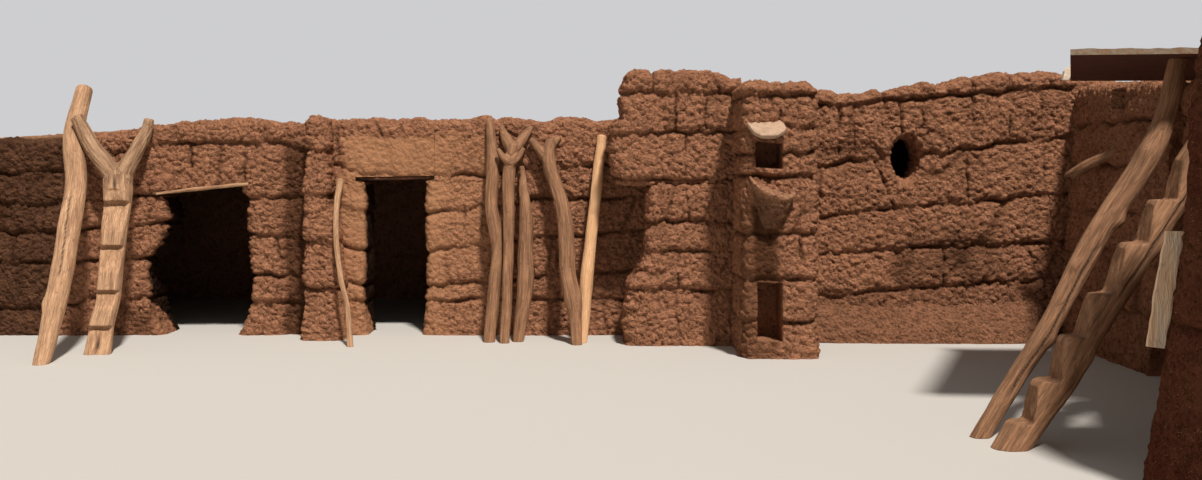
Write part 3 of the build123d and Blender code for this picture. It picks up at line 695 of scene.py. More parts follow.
def slope_top(x):
    """Height of the top of the wall that climbs to the corner."""
    return straight(slope_tops, x) + 0.06 * abs(ripple(x, 0.2, 3)) + 0.012 * ripple(x, 0.07, 4) - 0.03


def vent_run(left, right, rounds, **more):
    """A run of the wall with the vent."""
    settings = dict(top=slope_top, thick=0.42, joints=slope_joints, cracks=slope_cracks)
    settings.update(more)
    return Run(origin=(0, vent_face), heading=(1, 0), left=left, right=right, rounds=rounds, **settings)


def broken_end(low, high, table):
    """A ragged end of wall between two heights."""
    return lambda z: flowing(table, z) + 0.02 * ripple(z, 0.12, low * 3) + 0.01 * ripple(z, 0.045, high * 2)


class MUD_OT_high_front_left(bpy.types.Operator):
    """Lay the high block's front wall left of the pier, with its broken overhanging end"""
    bl_idname = "mudhouse.high_front_left"
    bl_label = "High front wall, left"

    def execute(self, context):
        edge = sizes().worn_edge
        cracks = [(1.204, 2.21, 1.2, 2.42, 0.014, 0.024), (1.396, 1.87, 1.4, 2.19, 0.014, 0.026),
                  (1.484, 1.46, 1.49, 1.84, 0.013, 0.024), (1.51, 1.09, 1.5, 1.43, 0.012, 0.02),
                  (1.42, 0.5, 1.43, 0.81, 0.013, 0.02), (1.66, 1.88, 1.67, 2.2, 0.012, 0.02)]
        base = dict(origin=(0, high_face), heading=(1, 0), thick=0.42, joints=high_joints, cracks=cracks)
        lower = [(0, 0.985), (0.45, 0.985), (0.6, 1.06), (0.816, 1.15), (1.078, 1.165), (1.4, 1.19)]
        upper = [(1.44, 0.9), (1.6, 0.862), (1.93, 0.862), (1.98, 0.94), (2.2, 0.935), (2.3, 0.975),
                 (2.44, 0.99)]
        top = [(0.85, 2.42), (1.7, 2.425), (1.895, 2.34)]
        runs = [Run(left=broken_end(0, 1, lower), right=pier_left + 0.08, top=1.43,
                    rounds={"front": edge, "left": 0.07, "top": 0.05}, nominal=(1.0, pier_left + 0.08),
                    **base),
                Run(left=broken_end(2, 3, upper), right=pier_left + 0.08, bottom=1.405,
                    top=lambda x: straight(top, x) + 0.04 * abs(ripple(x, 0.17, 3)) - 0.026,
                    rounds={"front": edge, "left": 0.07, "top": edge, "bottom": 0.035},
                    nominal=(0.9, pier_left + 0.08), **base)]
        mud_piece("laid_high_front_wall_left", runs)
        return {"FINISHED"}


def niche_faces(bm, run_left, run_right, top, box):
    """Faces of the gridded cube's front that lie in a niche's mouth."""
    x0, x1, z0, z1 = box
    found = []
    for face in bm.faces:
        middle = face.calc_center_median()
        if middle.y < 1e-5 and len(face.verts) == 4:
            x = run_left + middle.x * (run_right - run_left)
            z = middle.z * top
            if x0 < x < x1 and z0 < z < z1:
                found.append(face)
    return found


def sink(bm, faces, depth):
    """Push faces into the wall and leave their sides standing."""
    push(bm, faces, (0, depth, 0))
    left_over = [f for f in faces if f.is_valid]
    if left_over:
        bmesh.ops.delete(bm, geom=left_over, context="FACES_KEEP_BOUNDARY")


class MUD_OT_niche_pier(bpy.types.Operator):
    """Build the pier with its two niches, the flat stone and the clay shelf"""
    bl_idname = "mudhouse.niche_pier"
    bl_label = "Niche pier, stone and shelf"

    def execute(self, context):
        left, right, top, thick = pier_left + 0.03, pier_right - 0.03, 2.27, 1.42
        niches = [(2.003, 2.223, 1.558, 1.77), (2.027, 2.231, 0.142, 0.622)]

        def sink_niches(bm):
            for box in niches:
                faces = niche_faces(bm, left, right, top, box)
                sink(bm, faces, 0.34 / thick)
            long_edges = [e for e in bm.edges if abs((e.verts[0].co - e.verts[1].co).y) > 0.2
                          and 0.02 < e.verts[0].co.x < 0.98 and e.verts[0].co.z > 0.02]
            bmesh.ops.subdivide_edges(bm, edges=long_edges, cuts=14, use_grid_fill=True)

        def crown(x):
            return 2.255 + 0.02 * ripple(x, 0.15, 7) - 0.03 * rise(x, 2.3, 2.55)
        run = Run(origin=(0, pier_face), heading=(1, 0), left=left, right=right, top=crown, thick=thick,
                  rounds={"front": 0.07, "left": 0.07, "right": 0.07, "top": 0.06},
                  joints=[0.3, 0.64, 1.01, 1.49, 1.67, 1.88, 2.136],
                  cracks=[(2.2, 1.9, 2.21, 2.12, 0.012, 0.02), (2.38, 0.66, 2.36, 1.0, 0.012, 0.02)],
                  deep=0.022)
        piece = new_piece("laid_niche_pier", lay_run(run, prepare=sink_niches), "coursed_mud", "niche_pier")
        coat(piece, bare_mud())
        self.stone()
        self.shelf()
        return {"FINISHED"}

    def stone(self):
        """The flat stone over the upper niche."""
        bm = bmesh.new()
        low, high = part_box("niche_stone")
        bmesh.ops.create_circle(bm, cap_ends=True, segments=14, radius=1)
        outline = [1, 0.92, 0.97, 1.02, 0.9, 0.94, 1.0, 0.93, 1, 0.96, 1.03, 0.94, 0.98, 0.9]
        centre = (low + high) / 2
        half = (high - low) / 2
        for vert, grow in zip(list(bm.verts), outline):
            vert.co = Vector((vert.co.x * half.x * grow, vert.co.y * half.y * grow, -half.z))
        push(bm, bm.faces[:], (0, 0, 2 * half.z))
        bmesh.ops.bevel(bm, geom=bm.edges[:], offset=0.008, segments=3, profile=0.5, affect="EDGES",
                        material=-1)
        bmesh.ops.triangulate(bm, faces=bm.faces[:])
        bmesh.ops.subdivide_edges(bm, edges=bm.edges[:], cuts=2, use_grid_fill=True)
        bmesh.ops.recalc_face_normals(bm, faces=bm.faces[:])
        for vert in bm.verts:
            vert.co += vert.normal * 0.005 * noise.noise(vert.co / 0.03)
        bmesh.ops.rotate(bm, verts=bm.verts[:], cent=(0, -half.y, 0),
                         matrix=Matrix.Rotation(radians(34), 3, "X"))
        bmesh.ops.translate(bm, verts=bm.verts[:], vec=centre)
        for face in bm.faces:
            face.smooth = True
        coat(new_piece("flat_niche_stone", bm, "flat_stone", "niche_stone"), stone_material())

    def shelf(self):
        """The half-round clay shelf, dished on top, spun from its outline."""
        bm = bmesh.new()
        outline = [(0.0, 1.06), (0.07, 1.06), (0.115, 1.15), (0.15, 1.28), (0.17, 1.38), (0.188, 1.405),
                   (0.19, 1.425), (0.172, 1.432), (0.155, 1.42), (0.135, 1.39), (0.0, 1.38)]
        start = Matrix.Rotation(radians(-12), 3, "Z")
        verts = [bm.verts.new(start @ Vector((r, 0, z))) for r, z in outline]
        edges = [bm.edges.new(pair) for pair in zip(verts, verts[1:])]
        bmesh.ops.subdivide_edges(bm, edges=edges, cuts=4)
        bmesh.ops.spin(bm, geom=bm.verts[:] + bm.edges[:], cent=(0, 0, 0), axis=(0, 0, -1),
                       angle=radians(204),
                       steps=56, use_duplicate=False)
        bmesh.ops.remove_doubles(bm, verts=bm.verts[:], dist=1e-5)
        bmesh.ops.holes_fill(bm, edges=[e for e in bm.edges if e.is_boundary])
        bmesh.ops.recalc_face_normals(bm, faces=bm.faces[:])
        painted_shade = bm.verts.layers.float.new("painted_shade")
        for vert in bm.verts:
            uneven = 0.006 * noise.noise(vert.co / 0.05) + 0.003 * noise.noise(vert.co / 0.015)
            vert.co += vert.normal * uneven
            # Painted shade: the lower body darker than the rim.
            vert[painted_shade] = 0.6 * (1 - rise(vert.co.z, 1.3, 1.39))
        for face in bm.faces:
            face.smooth = len(face.verts) < 5
        for vert in bm.verts:
            x, y, z = vert.co
            vert.co.z -= rise(z, 1.06, 1.4) * (0.5 * max(0, -y) + 0.3 * x)
        bmesh.ops.translate(bm, verts=bm.verts[:], vec=(2.142, -0.175, 0))
        coat(new_piece("half_round_clay_shelf", bm, "fired_clay", "clay_shelf"),
             mud_material("shelf_clay", "clay", "mud_dark"))


class MUD_OT_vent_walls(bpy.types.Operator):
    """Lay the high front wall right of the pier, with the oval vent through it"""
    bl_idname = "mudhouse.vent_walls"
    bl_label = "Vent wall"

    def execute(self, context):
        edge = sizes().worn_edge
        front = {"front": edge}
        whole = {"front": edge, "top": edge}
        x0, x1, z0, z1 = vent_x - 0.21, vent_x + 0.21, vent_z - 0.283, vent_z + 0.283
        mud_piece("laid_high_front_wall_by_pier", [vent_run(pier_right - 0.1, x0, whole)])
        mud_piece("laid_high_front_wall_corner", [vent_run(x1, 5.52, {**whole, "right": edge})])
        mud_piece("laid_wall_under_vent", [vent_run(x0, x1, front, top=z0)])
        mud_piece("laid_wall_over_vent", [vent_run(x0, x1, whole, bottom=z1)])

        def pierce(bm):
            reach = 0.035
            gone = []
            for face in bm.faces:
                middle = face.calc_center_median()
                u = x0 + middle.x * (x1 - x0) - vent_x
                z = z0 + middle.z * (z1 - z0) - vent_z
                inside = hypot(u / (vent_half_width + reach), z / (vent_half_height + reach)) < 1
                if inside and (middle.y < 1e-5 or middle.y > 1 - 1e-5):
                    gone.append(face)
            bmesh.ops.delete(bm, geom=gone, context="FACES")
            rim = [e for e in bm.edges if e.is_boundary]
            for vert in {v for e in rim for v in e.verts}:
                u = x0 + vert.co.x * (x1 - x0) - vent_x
                z = z0 + vert.co.z * (z1 - z0) - vent_z
                grow = 1 / hypot(u / (vent_half_width + reach), z / (vent_half_height + reach))
                vert.co.x = (vent_x + u * grow - x0) / (x1 - x0)
                vert.co.z = (vent_z + z * grow - z0) / (z1 - z0)
            bridged = bmesh.ops.bridge_loops(bm, edges=rim)
            through = [e for e in bridged["edges"] if abs((e.verts[0].co - e.verts[1].co).y) > 0.5]
            bmesh.ops.subdivide_edges(bm, edges=through, cuts=25, use_grid_fill=True)
            for vert in bm.verts:
                share = min(vert.co.y, 1 - vert.co.y) * 0.42 / reach
                u = x0 + vert.co.x * (x1 - x0) - vent_x
                z = z0 + vert.co.z * (z1 - z0) - vent_z
                size = hypot(u / (vent_half_width + reach), z / (vent_half_height + reach))
                if size < 1.01 and share > 0:
                    narrow = reach * (1 - (1 - min(1, share)) ** 2) ** 0.5
                    shrink_u = (vent_half_width + reach - narrow) / (vent_half_width + reach)
                    shrink_z = (vent_half_height + reach - narrow) / (vent_half_height + reach)
                    vert.co.x = (vent_x + u * shrink_u - x0) / (x1 - x0)
                    vert.co.z = (vent_z + z * shrink_z - z0) / (z1 - z0)
        run = vent_run(x0, x1, {"front": edge, "back": 0.01}, bottom=z0, top=z1, cell=0.012, deep=0.4)
        bm = lay_run(run, prepare=pierce)
        bm.normal_update()
        painted_shade = bm.verts.layers.float["painted_shade"]
        for vert in bm.verts:
            depth = vert.co.y - vent_face
            if depth > 0.012 and abs(vert.normal.y) < 0.9:
                # The vent's sides take the relief and its painted shade.
                out, deep = relief(run, vert.co.copy(), 0, 0, 0)
                vert.co += vert.normal * 0.8 * out
                vert[painted_shade] = deep
        piece = new_piece("laid_high_front_wall_vent", bm, "coursed_mud", "high_front_wall_vent")
        coat(piece, bare_mud())
        return {"FINISHED"}


class MUD_OT_wall_foot(bpy.types.Operator):
    """Lay the sloping foot of the wall with the vent"""
    bl_idname = "mudhouse.wall_foot"
    bl_label = "Sloping foot"

    def execute(self, context):
        rises = [(2.54, 0.33), (3.31, 0.3), (4.19, 0.34), (4.8, 0.38)]
        reaches = [(2.54, 0.12), (3.31, 0.17), (4.19, 0.2), (4.8, 0.15)]
        slope = [(0, 1), (0.35, 0.8), (0.8, 0.25), (1, 0)]

        def front(u, z):
            return -straight(reaches, u) * straight(slope, z / straight(rises, u))
        run = Run(origin=(0, 0.82), heading=(1, 0), left=2.54, right=4.8,
                  top=lambda u: straight(rises, u) + 0.015 * ripple(u, 0.2, 3), thick=0.03,
                  rounds={"front": 0.02, "right": 0.02, "left": 0.02, "top": 0.02}, front=front, rough=0.7)
        piece = new_piece("laid_wall_foot", lay_run(run), "smooth_mud", "wall_foot")
        coat(piece, bare_mud())
        return {"FINISHED"}


class MUD_OT_high_far_walls(bpy.types.Operator):
    """Lay the high block's back wall and its two side walls"""
    bl_idname = "mudhouse.high_far_walls"
    bl_label = "High back and side walls"

    def execute(self, context):
        far, edge = sizes().far_cell, sizes().worn_edge

        def top(u):
            return 2.385 + 0.02 * ripple(u, 0.3, 6)
        base = dict(top=top, thick=0.4, joints=high_joints[:-1] + [2.18], cell=far, deep=0.04)
        back = Run(origin=(0, 4.62), heading=(-1, 0), left=-5.52, right=-1.2,
                   rounds={"front": edge, "left": edge, "right": edge, "top": edge}, **base)
        mud_piece("laid_high_back_wall", [back])
        side = Run(origin=(1.2 + 0.03, 0), heading=(0, -1), left=-4.22, right=-0.9703,
                   rounds={"front": edge, "top": edge}, **{**base, "thick": 0.37})
        mud_piece("laid_high_side_wall", [side])
        right = Run(origin=(5.52, 0), heading=(0, 1), left=1.2703, right=4.22,
                    rounds={"front": edge, "top": edge},
                    **base)
        mud_piece("laid_high_right_wall", [right])
        return {"FINISHED"}


class MUD_OT_high_roof(bpy.types.Operator):
    """Spread the high block's beaten earth over its branches"""
    bl_idname = "mudhouse.high_roof"
    bl_label = "High roof"

    def execute(self, context):
        far = sizes().far_cell
        base = dict(heading=(1, 0), rounds={"top": 0.02}, bottom=2.04, cell=far, deep=far, rough=0.8)

        def top(x):
            return 2.172 + 0.012 * ripple(x, 0.5, 8)
        near = Run(origin=(0, 0.7503), left=1.4003, right=2.2125, top=top, thick=0.32, **base)
        main_part = Run(origin=(0, 1.0503), left=1.4003, right=5.3497, top=top, thick=3.3694, **base)
        piece = new_piece("high_roof_beaten_earth", joined([lay_run(near), lay_run(main_part)]), "roof_earth",
                          "high_roof_earth")
        coat(piece, earth_material())
        paint_node("high_roof_joists", brush_material())
        paint_node("high_roof_branches", brush_material())
        return {"FINISHED"}


# The court's right side
return_face, return_near, court_near = 5.05, -0.95, 4.15


class MUD_OT_return_wall(bpy.types.Operator):
    """Lay the wall that comes forward from the corner, with its pocket, and set the branch in it"""
    bl_idname = "mudhouse.return_wall"
    bl_label = "Return wall and branch"

    def execute(self, context):
        edge = sizes().worn_edge
        tops = [(-0.82, 2.29), (0.4, 2.26), (0.95, 2.21)]
        joints = [0.42, 0.8, 1.18, 1.56, 1.93]
        pocket = (-0.1, 0.15, 2.03, 2.19)

        def top(u):
            return straight(tops, u) + 0.018 * ripple(u, 0.2, 4) - 0.012

        def sink_pocket(bm):
            sink(bm, niche_faces(bm, -0.819, 0.95, 2.25, pocket), 0.3)
        run = Run(origin=(return_face, 0), heading=(0, -1), left=-0.819, right=0.95, top=top, thick=0.45,
                  front=lambda u, z: -0.19 * (1 - z / top(u)),
                  rounds={"front": edge, "back": edge, "top": edge},
                  joints=joints, cracks=[(0.3, 1.2, 0.32, 1.53, 0.013, 0.022),
                                         (-0.3, 0.82, -0.28, 1.15, 0.013, 0.02)],
                  cell=0.018, deep=0.03)
        piece = new_piece("laid_return_wall", lay_run(run, prepare=sink_pocket), "coursed_mud", "return_wall")
        coat(piece, bare_mud())
        branch = [(5.06, -0.08, 1.73, 0.032), (4.911, 0.091, 1.622, 0.042), (4.828, 0.186, 1.562, 0.05),
                  (4.765, 0.255, 1.518, 0.036), (4.71, 0.32, 1.478, 0.014)]
        splinter = [(4.9, 0.1, 1.6, 0.034), (4.81, 0.2, 1.525, 0.028), (4.745, 0.275, 1.462, 0.01)]
        wood_piece("split_wall_branch", [branch, splinter], "weathered_log", "wall_branch", floor=False,
                   voxel=0.008,
                   looks=post_wood())
        return {"FINISHED"}


class MUD_OT_court_wall(bpy.types.Operator):
    """Lay the court wall on the right"""
    bl_idname = "mudhouse.court_wall"
    bl_label = "Court wall"

    def execute(self, context):
        edge = sizes().worn_edge
        skew = Vector((-0.96, -3.0, 0))
        run = Run(origin=(court_near + 0.96, return_near), heading=skew.xy, left=0.0, right=skew.length,
                  top=lambda u: 2.188 + 0.01 * ripple(u, 0.25, 2), thick=0.38,
                  rounds={"front": edge, "back": edge, "top": edge, "left": 0.03},
                  joints=[0.42, 0.8, 1.18, 1.56, 1.93],
                  cell=0.026, deep=0.04)
        bm = lay_run(run)
        slant, blend = 0.32, 0.6
        for vert in bm.verts:
            off = vert.co - run.origin
            u, d = off.dot(run.along), off.dot(run.inward)
            vert.co -= run.along * (slant * d + 0.04) * max(0, 1 - u / blend)
        coat(new_piece("laid_court_wall", bm, "coursed_mud", "court_wall"), bare_mud())
        return {"FINISHED"}


class MUD_OT_court_pier(bpy.types.Operator):
    """Lay the pier at the court wall's near end, and lean the board on it"""
    bl_idname = "mudhouse.court_pier"
    bl_label = "Court wall pier and board"

    def execute(self, context):
        left = [(0, 3.38), (0.6, 3.485), (1.1, 3.565), (1.4, 3.59), (1.95, 3.62), (2.25, 3.68), (2.45, 3.695)]
        run = Run(origin=(0, -4.62), heading=(1, 0), left=lambda z: flowing(left, z), right=4.61, top=2.43,
                  thick=0.66,
                  rounds={"front": 0.08, "left": 0.05, "right": 0.1, "back": 0.05, "top": 0.06},
                  joints=[0.79, 1.6, 2.01], cell=0.02, deep=0.027, nominal=(3.5, 4.61), rough=0.5)
        # The pier takes the darker mud as painted shade.
        mud_piece("laid_court_wall_pier", [run], looks=mud_material("pier_mud", "pier_light", "pier_dark"))
        self.board()
        return {"FINISHED"}

    def board(self):
        """A worn board, its ends and edges split and ragged."""
        corners = [(3.414, 0.678), (3.5, 0.668), (3.6, 1.241), (3.512, 1.241)]
        bm = slab([(x, 0, z) for x, z in corners], (0, 0.02, 0))
        bmesh.ops.subdivide_edges(bm, edges=[e for e in bm.edges if e.calc_length() > 0.3], cuts=48,
                                  use_grid_fill=True)
        bmesh.ops.subdivide_edges(bm, edges=[e for e in bm.edges if 0.05 < e.calc_length() < 0.3], cuts=6,
                                  use_grid_fill=True)
        bmesh.ops.recalc_face_normals(bm, faces=bm.faces[:])
        grain = bm.verts.layers.float_vector.new("grain")
        for vert in bm.verts:
            x, y, z = vert.co
            vert[grain] = Vector((x, y, z))
            side = 0.012 * ripple(z, 0.08, 3 if x < 3.5 else 4)
            vert.co.x += side
            vert.co.y += 0.003 * noise.noise(Vector((x / 0.012, 0, z / 0.2)))
        bmesh.ops.translate(bm, verts=bm.verts[:], vec=(0, -3.9497, 0))
        # The board's pale colours are painted light.
        coat(new_piece("ragged_edge_board", bm, "shade_boards", "edge_board"),
             wood_material("pale_board", "board", "peeled", 0.4))


class MUD_OT_shade_roof(bpy.types.Operator):
    """Lay the shade roof over the court's right corner"""
    bl_idname = "mudhouse.shade_roof"
    bl_label = "Shade roof"

    def execute(self, context):
        plan = [(-0.7, -1.98), (0.11, 0.03), (1.15, -0.01), (0.65, -2.13)]
        corners = [Vector((court_near + x, return_near + y, 2.2003)) for x, y in plan]
        bm = slab(corners, (0, 0, 0.034))
        bmesh.ops.subdivide_edges(bm, edges=[e for e in bm.edges if e.calc_length() > 0.5], cuts=60,
                                  use_grid_fill=True)
        bmesh.ops.recalc_face_normals(bm, faces=bm.faces[:])
        for vert in bm.verts:
            vert.co.z += 0.006 * ripple(vert.co.x, 0.05, 2) * (vert.co.z > 2.21)
        # Faces turned down get the dark painted shade, the top and edges the paler sheet.
        for face in bm.faces:
            face.material_index = 0 if face.normal.z < -0.5 else 1
        bent_up = [(4.175, 2.205), (4.262, 2.202), (4.3, 2.2), (4.3, 2.335), (4.235, 2.31), (4.19, 2.27)]
        end = slab([(x, -0.99, z) for x, z in bent_up], (0, 0.04, 0))
        bmesh.ops.recalc_face_normals(end, faces=end.faces[:])
        for face in end.faces:
            face.material_index = 2
        bm = joined([bm, end])
        piece = new_piece("shade_roof_boards", bm, "shade_boards", "shade_roof")
        piece.data.materials.append(soffit_painted_shade_material())
        piece.data.materials.append(plain_relief("sheet_edge", tint("sheet"), tint("wood_dark"), 50, 0.004,
                                                 0.7))
        # The bent-up end takes the board's painted-light colour.
        piece.data.materials.append(plain_relief("cream_end", tint("board"), tint("stone"), 40, 0.004, 0.8))
        return {"FINISHED"}


class MUD_OT_buttress(bpy.types.Operator):
    """Lay the swelling buttress between the doorways"""
    bl_idname = "mudhouse.buttress"
    bl_label = "Buttress"

    def execute(self, context):
        widths = [(0, 0.366), (0.43, 0.322), (0.49, 0.335), (0.85, 0.284), (0.9, 0.292), (1.28, 0.215),
                  (1.34, 0.226), (1.7, 0.2), (2.05, 0.18)]
        depths = [(0, 0.33), (0.43, 0.27), (0.49, 0.3), (0.85, 0.26), (0.9, 0.28), (1.28, 0.235),
                  (1.34, 0.25),
                  (1.7, 0.205), (2.05, 0.17)]
        run = Run(origin=(0, low_face - 0.03), heading=(1, 0),
                  left=lambda z: -1.93 + 0.02 * ripple(z, 0.3, 2),
                  right=lambda z: -1.95 + straight(widths, z), top=2.03, thick=0.06,
                  front=lambda u, z: 0.02 - straight(depths, z), cell=0.0125, deep=0.0125,
                  nominal=(-1.93, -1.62),
                  rounds={"front": 0.06, "left": 0.05, "right": 0.08, "top": 0.05},
                  joints=[0.46, 0.87, 1.31, 1.7])
        piece = new_piece("laid_buttress", lay_run(run), "coursed_mud", "buttress")
        coat(piece, bare_mud())
        return {"FINISHED"}


# Wood

def tube(path):
    """A trunk as a mesh tube through places with radii, and the places on its centre line."""
    curve = bpy.data.curves.new("trunk", "CURVE")
    curve.dimensions = "3D"
    curve.resolution_u = 10
    spline = curve.splines.new("BEZIER")
    spline.bezier_points.add(len(path) - 1)
    for point, (x, y, z, radius) in zip(spline.bezier_points, path):
        point.co = (x, y, z)
        point.radius = radius
        point.handle_left_type = point.handle_right_type = "AUTO"
    holder = bpy.data.objects.new("trunk", curve)
    bpy.context.scene.collection.objects.link(holder)
    bpy.context.view_layer.update()
    line = bpy.data.meshes.new_from_object(holder.evaluated_get(bpy.context.evaluated_depsgraph_get()))
    centre = [v.co.copy() for v in line.vertices]
    curve.bevel_depth = 1
    curve.bevel_resolution = 10
    curve.use_fill_caps = True
    bpy.context.view_layer.update()
    solid = bpy.data.meshes.new_from_object(holder.evaluated_get(bpy.context.evaluated_depsgraph_get()))
    bpy.data.objects.remove(holder)
    bpy.data.curves.remove(curve)
    bpy.data.meshes.remove(line)
    return solid, centre


def remeshed(bm, voxel, cutters=None):
    """The bmesh's outer skin as even quads, with a cutter's shape taken out of it."""
    mesh = bpy.data.meshes.new("wood")
    bm.to_mesh(mesh)
    bm.free()
    holder = bpy.data.objects.new("wood", mesh)
    bpy.context.scene.collection.objects.link(holder)
    skin = holder.modifiers.new("skin", "REMESH")
    skin.mode = "VOXEL"
    skin.voxel_size = voxel
    knife = None
    if cutters:
        knife_mesh = bpy.data.meshes.new("knife")
        cutters.to_mesh(knife_mesh)
        cutters.free()
        knife = bpy.data.objects.new("knife", knife_mesh)
        bpy.context.scene.collection.objects.link(knife)
        cut = holder.modifiers.new("cut", "BOOLEAN")
        cut.operation = "DIFFERENCE"
        cut.solver = "EXACT"
        cut.object = knife
        again = holder.modifiers.new("again", "REMESH")
        again.mode = "VOXEL"
        again.voxel_size = voxel
    bpy.context.view_layer.update()
    done = bpy.data.meshes.new_from_object(holder.evaluated_get(bpy.context.evaluated_depsgraph_get()))
    result = bmesh.new()
    result.from_mesh(done)
    for thing in (holder, knife):
        if thing:
            bpy.data.objects.remove(thing)
    return result


def wood_piece(name, paths, slot, node, cutters=None, floor=True, ceiling=None, voxel=None, looks=None,
               cracks=(),
               knots=(), barky=None):
    """A trunk or branch, forked or notched, with its bark's and grain's relief along it."""
    voxel = (voxel or sizes().voxel) * 1
    bm = bmesh.new()
    places = []
    for row, path in enumerate(paths):
        solid, centre = tube(path)
        bm.from_mesh(solid)
        bpy.data.meshes.remove(solid)
        run = 0
        for i, spot in enumerate(centre):
            run += (spot - centre[i - 1]).length if i else 0
            ahead = centre[min(i + 1, len(centre) - 1)] - centre[max(i - 1, 0)]
            places.append((spot, ahead.normalized(), run + 3 * row))
    bm = remeshed(bm, voxel, cutters)
    bmesh.ops.smooth_vert(bm, verts=bm.verts[:], factor=0.5, use_axis_x=True, use_axis_y=True,
                          use_axis_z=True)
    tree = KDTree(len(places))
    for i, (spot, _, _) in enumerate(places):
        tree.insert(spot, i)
    tree.balance()
    grain = bm.verts.layers.float_vector.new("grain")
    painted_shade = bm.verts.layers.float.new("painted_shade")
    bark = bm.verts.layers.float.new("bark")
    bm.normal_update()
    for vert in bm.verts:
        spot, ahead, run = places[tree.find(vert.co)[1]]
        off = vert.co - spot
        run += off.dot(ahead)
        off -= ahead * off.dot(ahead)
        across = (Vector((1, 0, 0)) - ahead * ahead.x).normalized()
        a, b = off.dot(across), off.dot(ahead.cross(across))
        out = 0.005 * noise.noise(Vector((a / 0.045, b / 0.045, run / 0.3)))
        out += 0.003 * noise.noise(Vector((a / 0.02, b / 0.02, run / 0.14)))
        deep = 0
        for a0, start, end, lean, width, depth in cracks:
            if start < run < end and b < 0:
                away = a - a0 - lean * (run - start) - 0.006 * ripple(run, 0.05, 2)
                fade = min(1, (run - start) / 0.1, (end - run) / 0.1)
                cut = exp(-(away / width) ** 2) * fade
                out -= depth * cut
                deep = max(deep, cut)
        for a0, b0, run0, size, height in knots:
            away = hypot(a - a0, b - b0, 0.6 * (run - run0)) / size
            out += height * exp(-away * away)
        furrow = barky(vert.co.z) if barky else 0
        if furrow > 0.5:
            out -= 0.008 * furrow * exp(-(noise.noise(Vector((a / 0.028, b / 0.028, run / 0.4))) / 0.12) ** 2)
        vert[grain] = Vector((a, b, run))
        vert[bark] = furrow
        # Painted shade in the cracks.
        vert[painted_shade] = deep
        vert.co += vert.normal * out
    if floor:
        cut_level(bm, 0, (0, 0, -1))
    if ceiling:
        cut_level(bm, ceiling, (0, 0, 1))
    for face in bm.faces:
        face.smooth = len(face.verts) < 5
    piece = new_piece(name, bm, slot, *([node] if node else []))
    coat(piece, looks or log_wood())
    return piece


def cut_level(bm, height, outwards):
    """Saw a trunk off level and close the cut."""
    geometry = bm.verts[:] + bm.edges[:] + bm.faces[:]
    bmesh.ops.bisect_plane(bm, geom=geometry, plane_co=(0, 0, height), plane_no=outwards, clear_outer=True)
    rim = [e for e in bm.edges if e.is_boundary]
    if rim:
        bmesh.ops.holes_fill(bm, edges=rim)


def before_wall(rings):
    """Rings of X, distance in front of the low wall, height and radius, in metres, as places with radii."""
    places = []
    for x, reach, z, radius in rings:
        touch = 30.3 + radius
        places.append((x / 1000, low_face - (reach or touch) / 1000, z / 1000, radius / 1000))
    start, after = places[0], places[1]
    if start[2] == 0:
        step = [s - 0.12 * (a - s) / max(0.001, after[2] - start[2]) for s, a in zip(start, after)]
        places.insert(0, (step[0], step[1], -0.12, start[3]))
    return places


def wedge(corners, front, back):
    """A wedge with its outline in Y and Z, reaching across X."""
    bm = slab([(front, y, z) for y, z in corners], (back - front, 0, 0))
    bmesh.ops.recalc_face_normals(bm, faces=bm.faces[:])
    return bm


def place_at(path, z):
    """Middle and radius of a trunk at a height."""
    x, y, r = (flowing([(p[2], p[i]) for p in path], z) for i in (0, 1, 3))
    return x, y, r


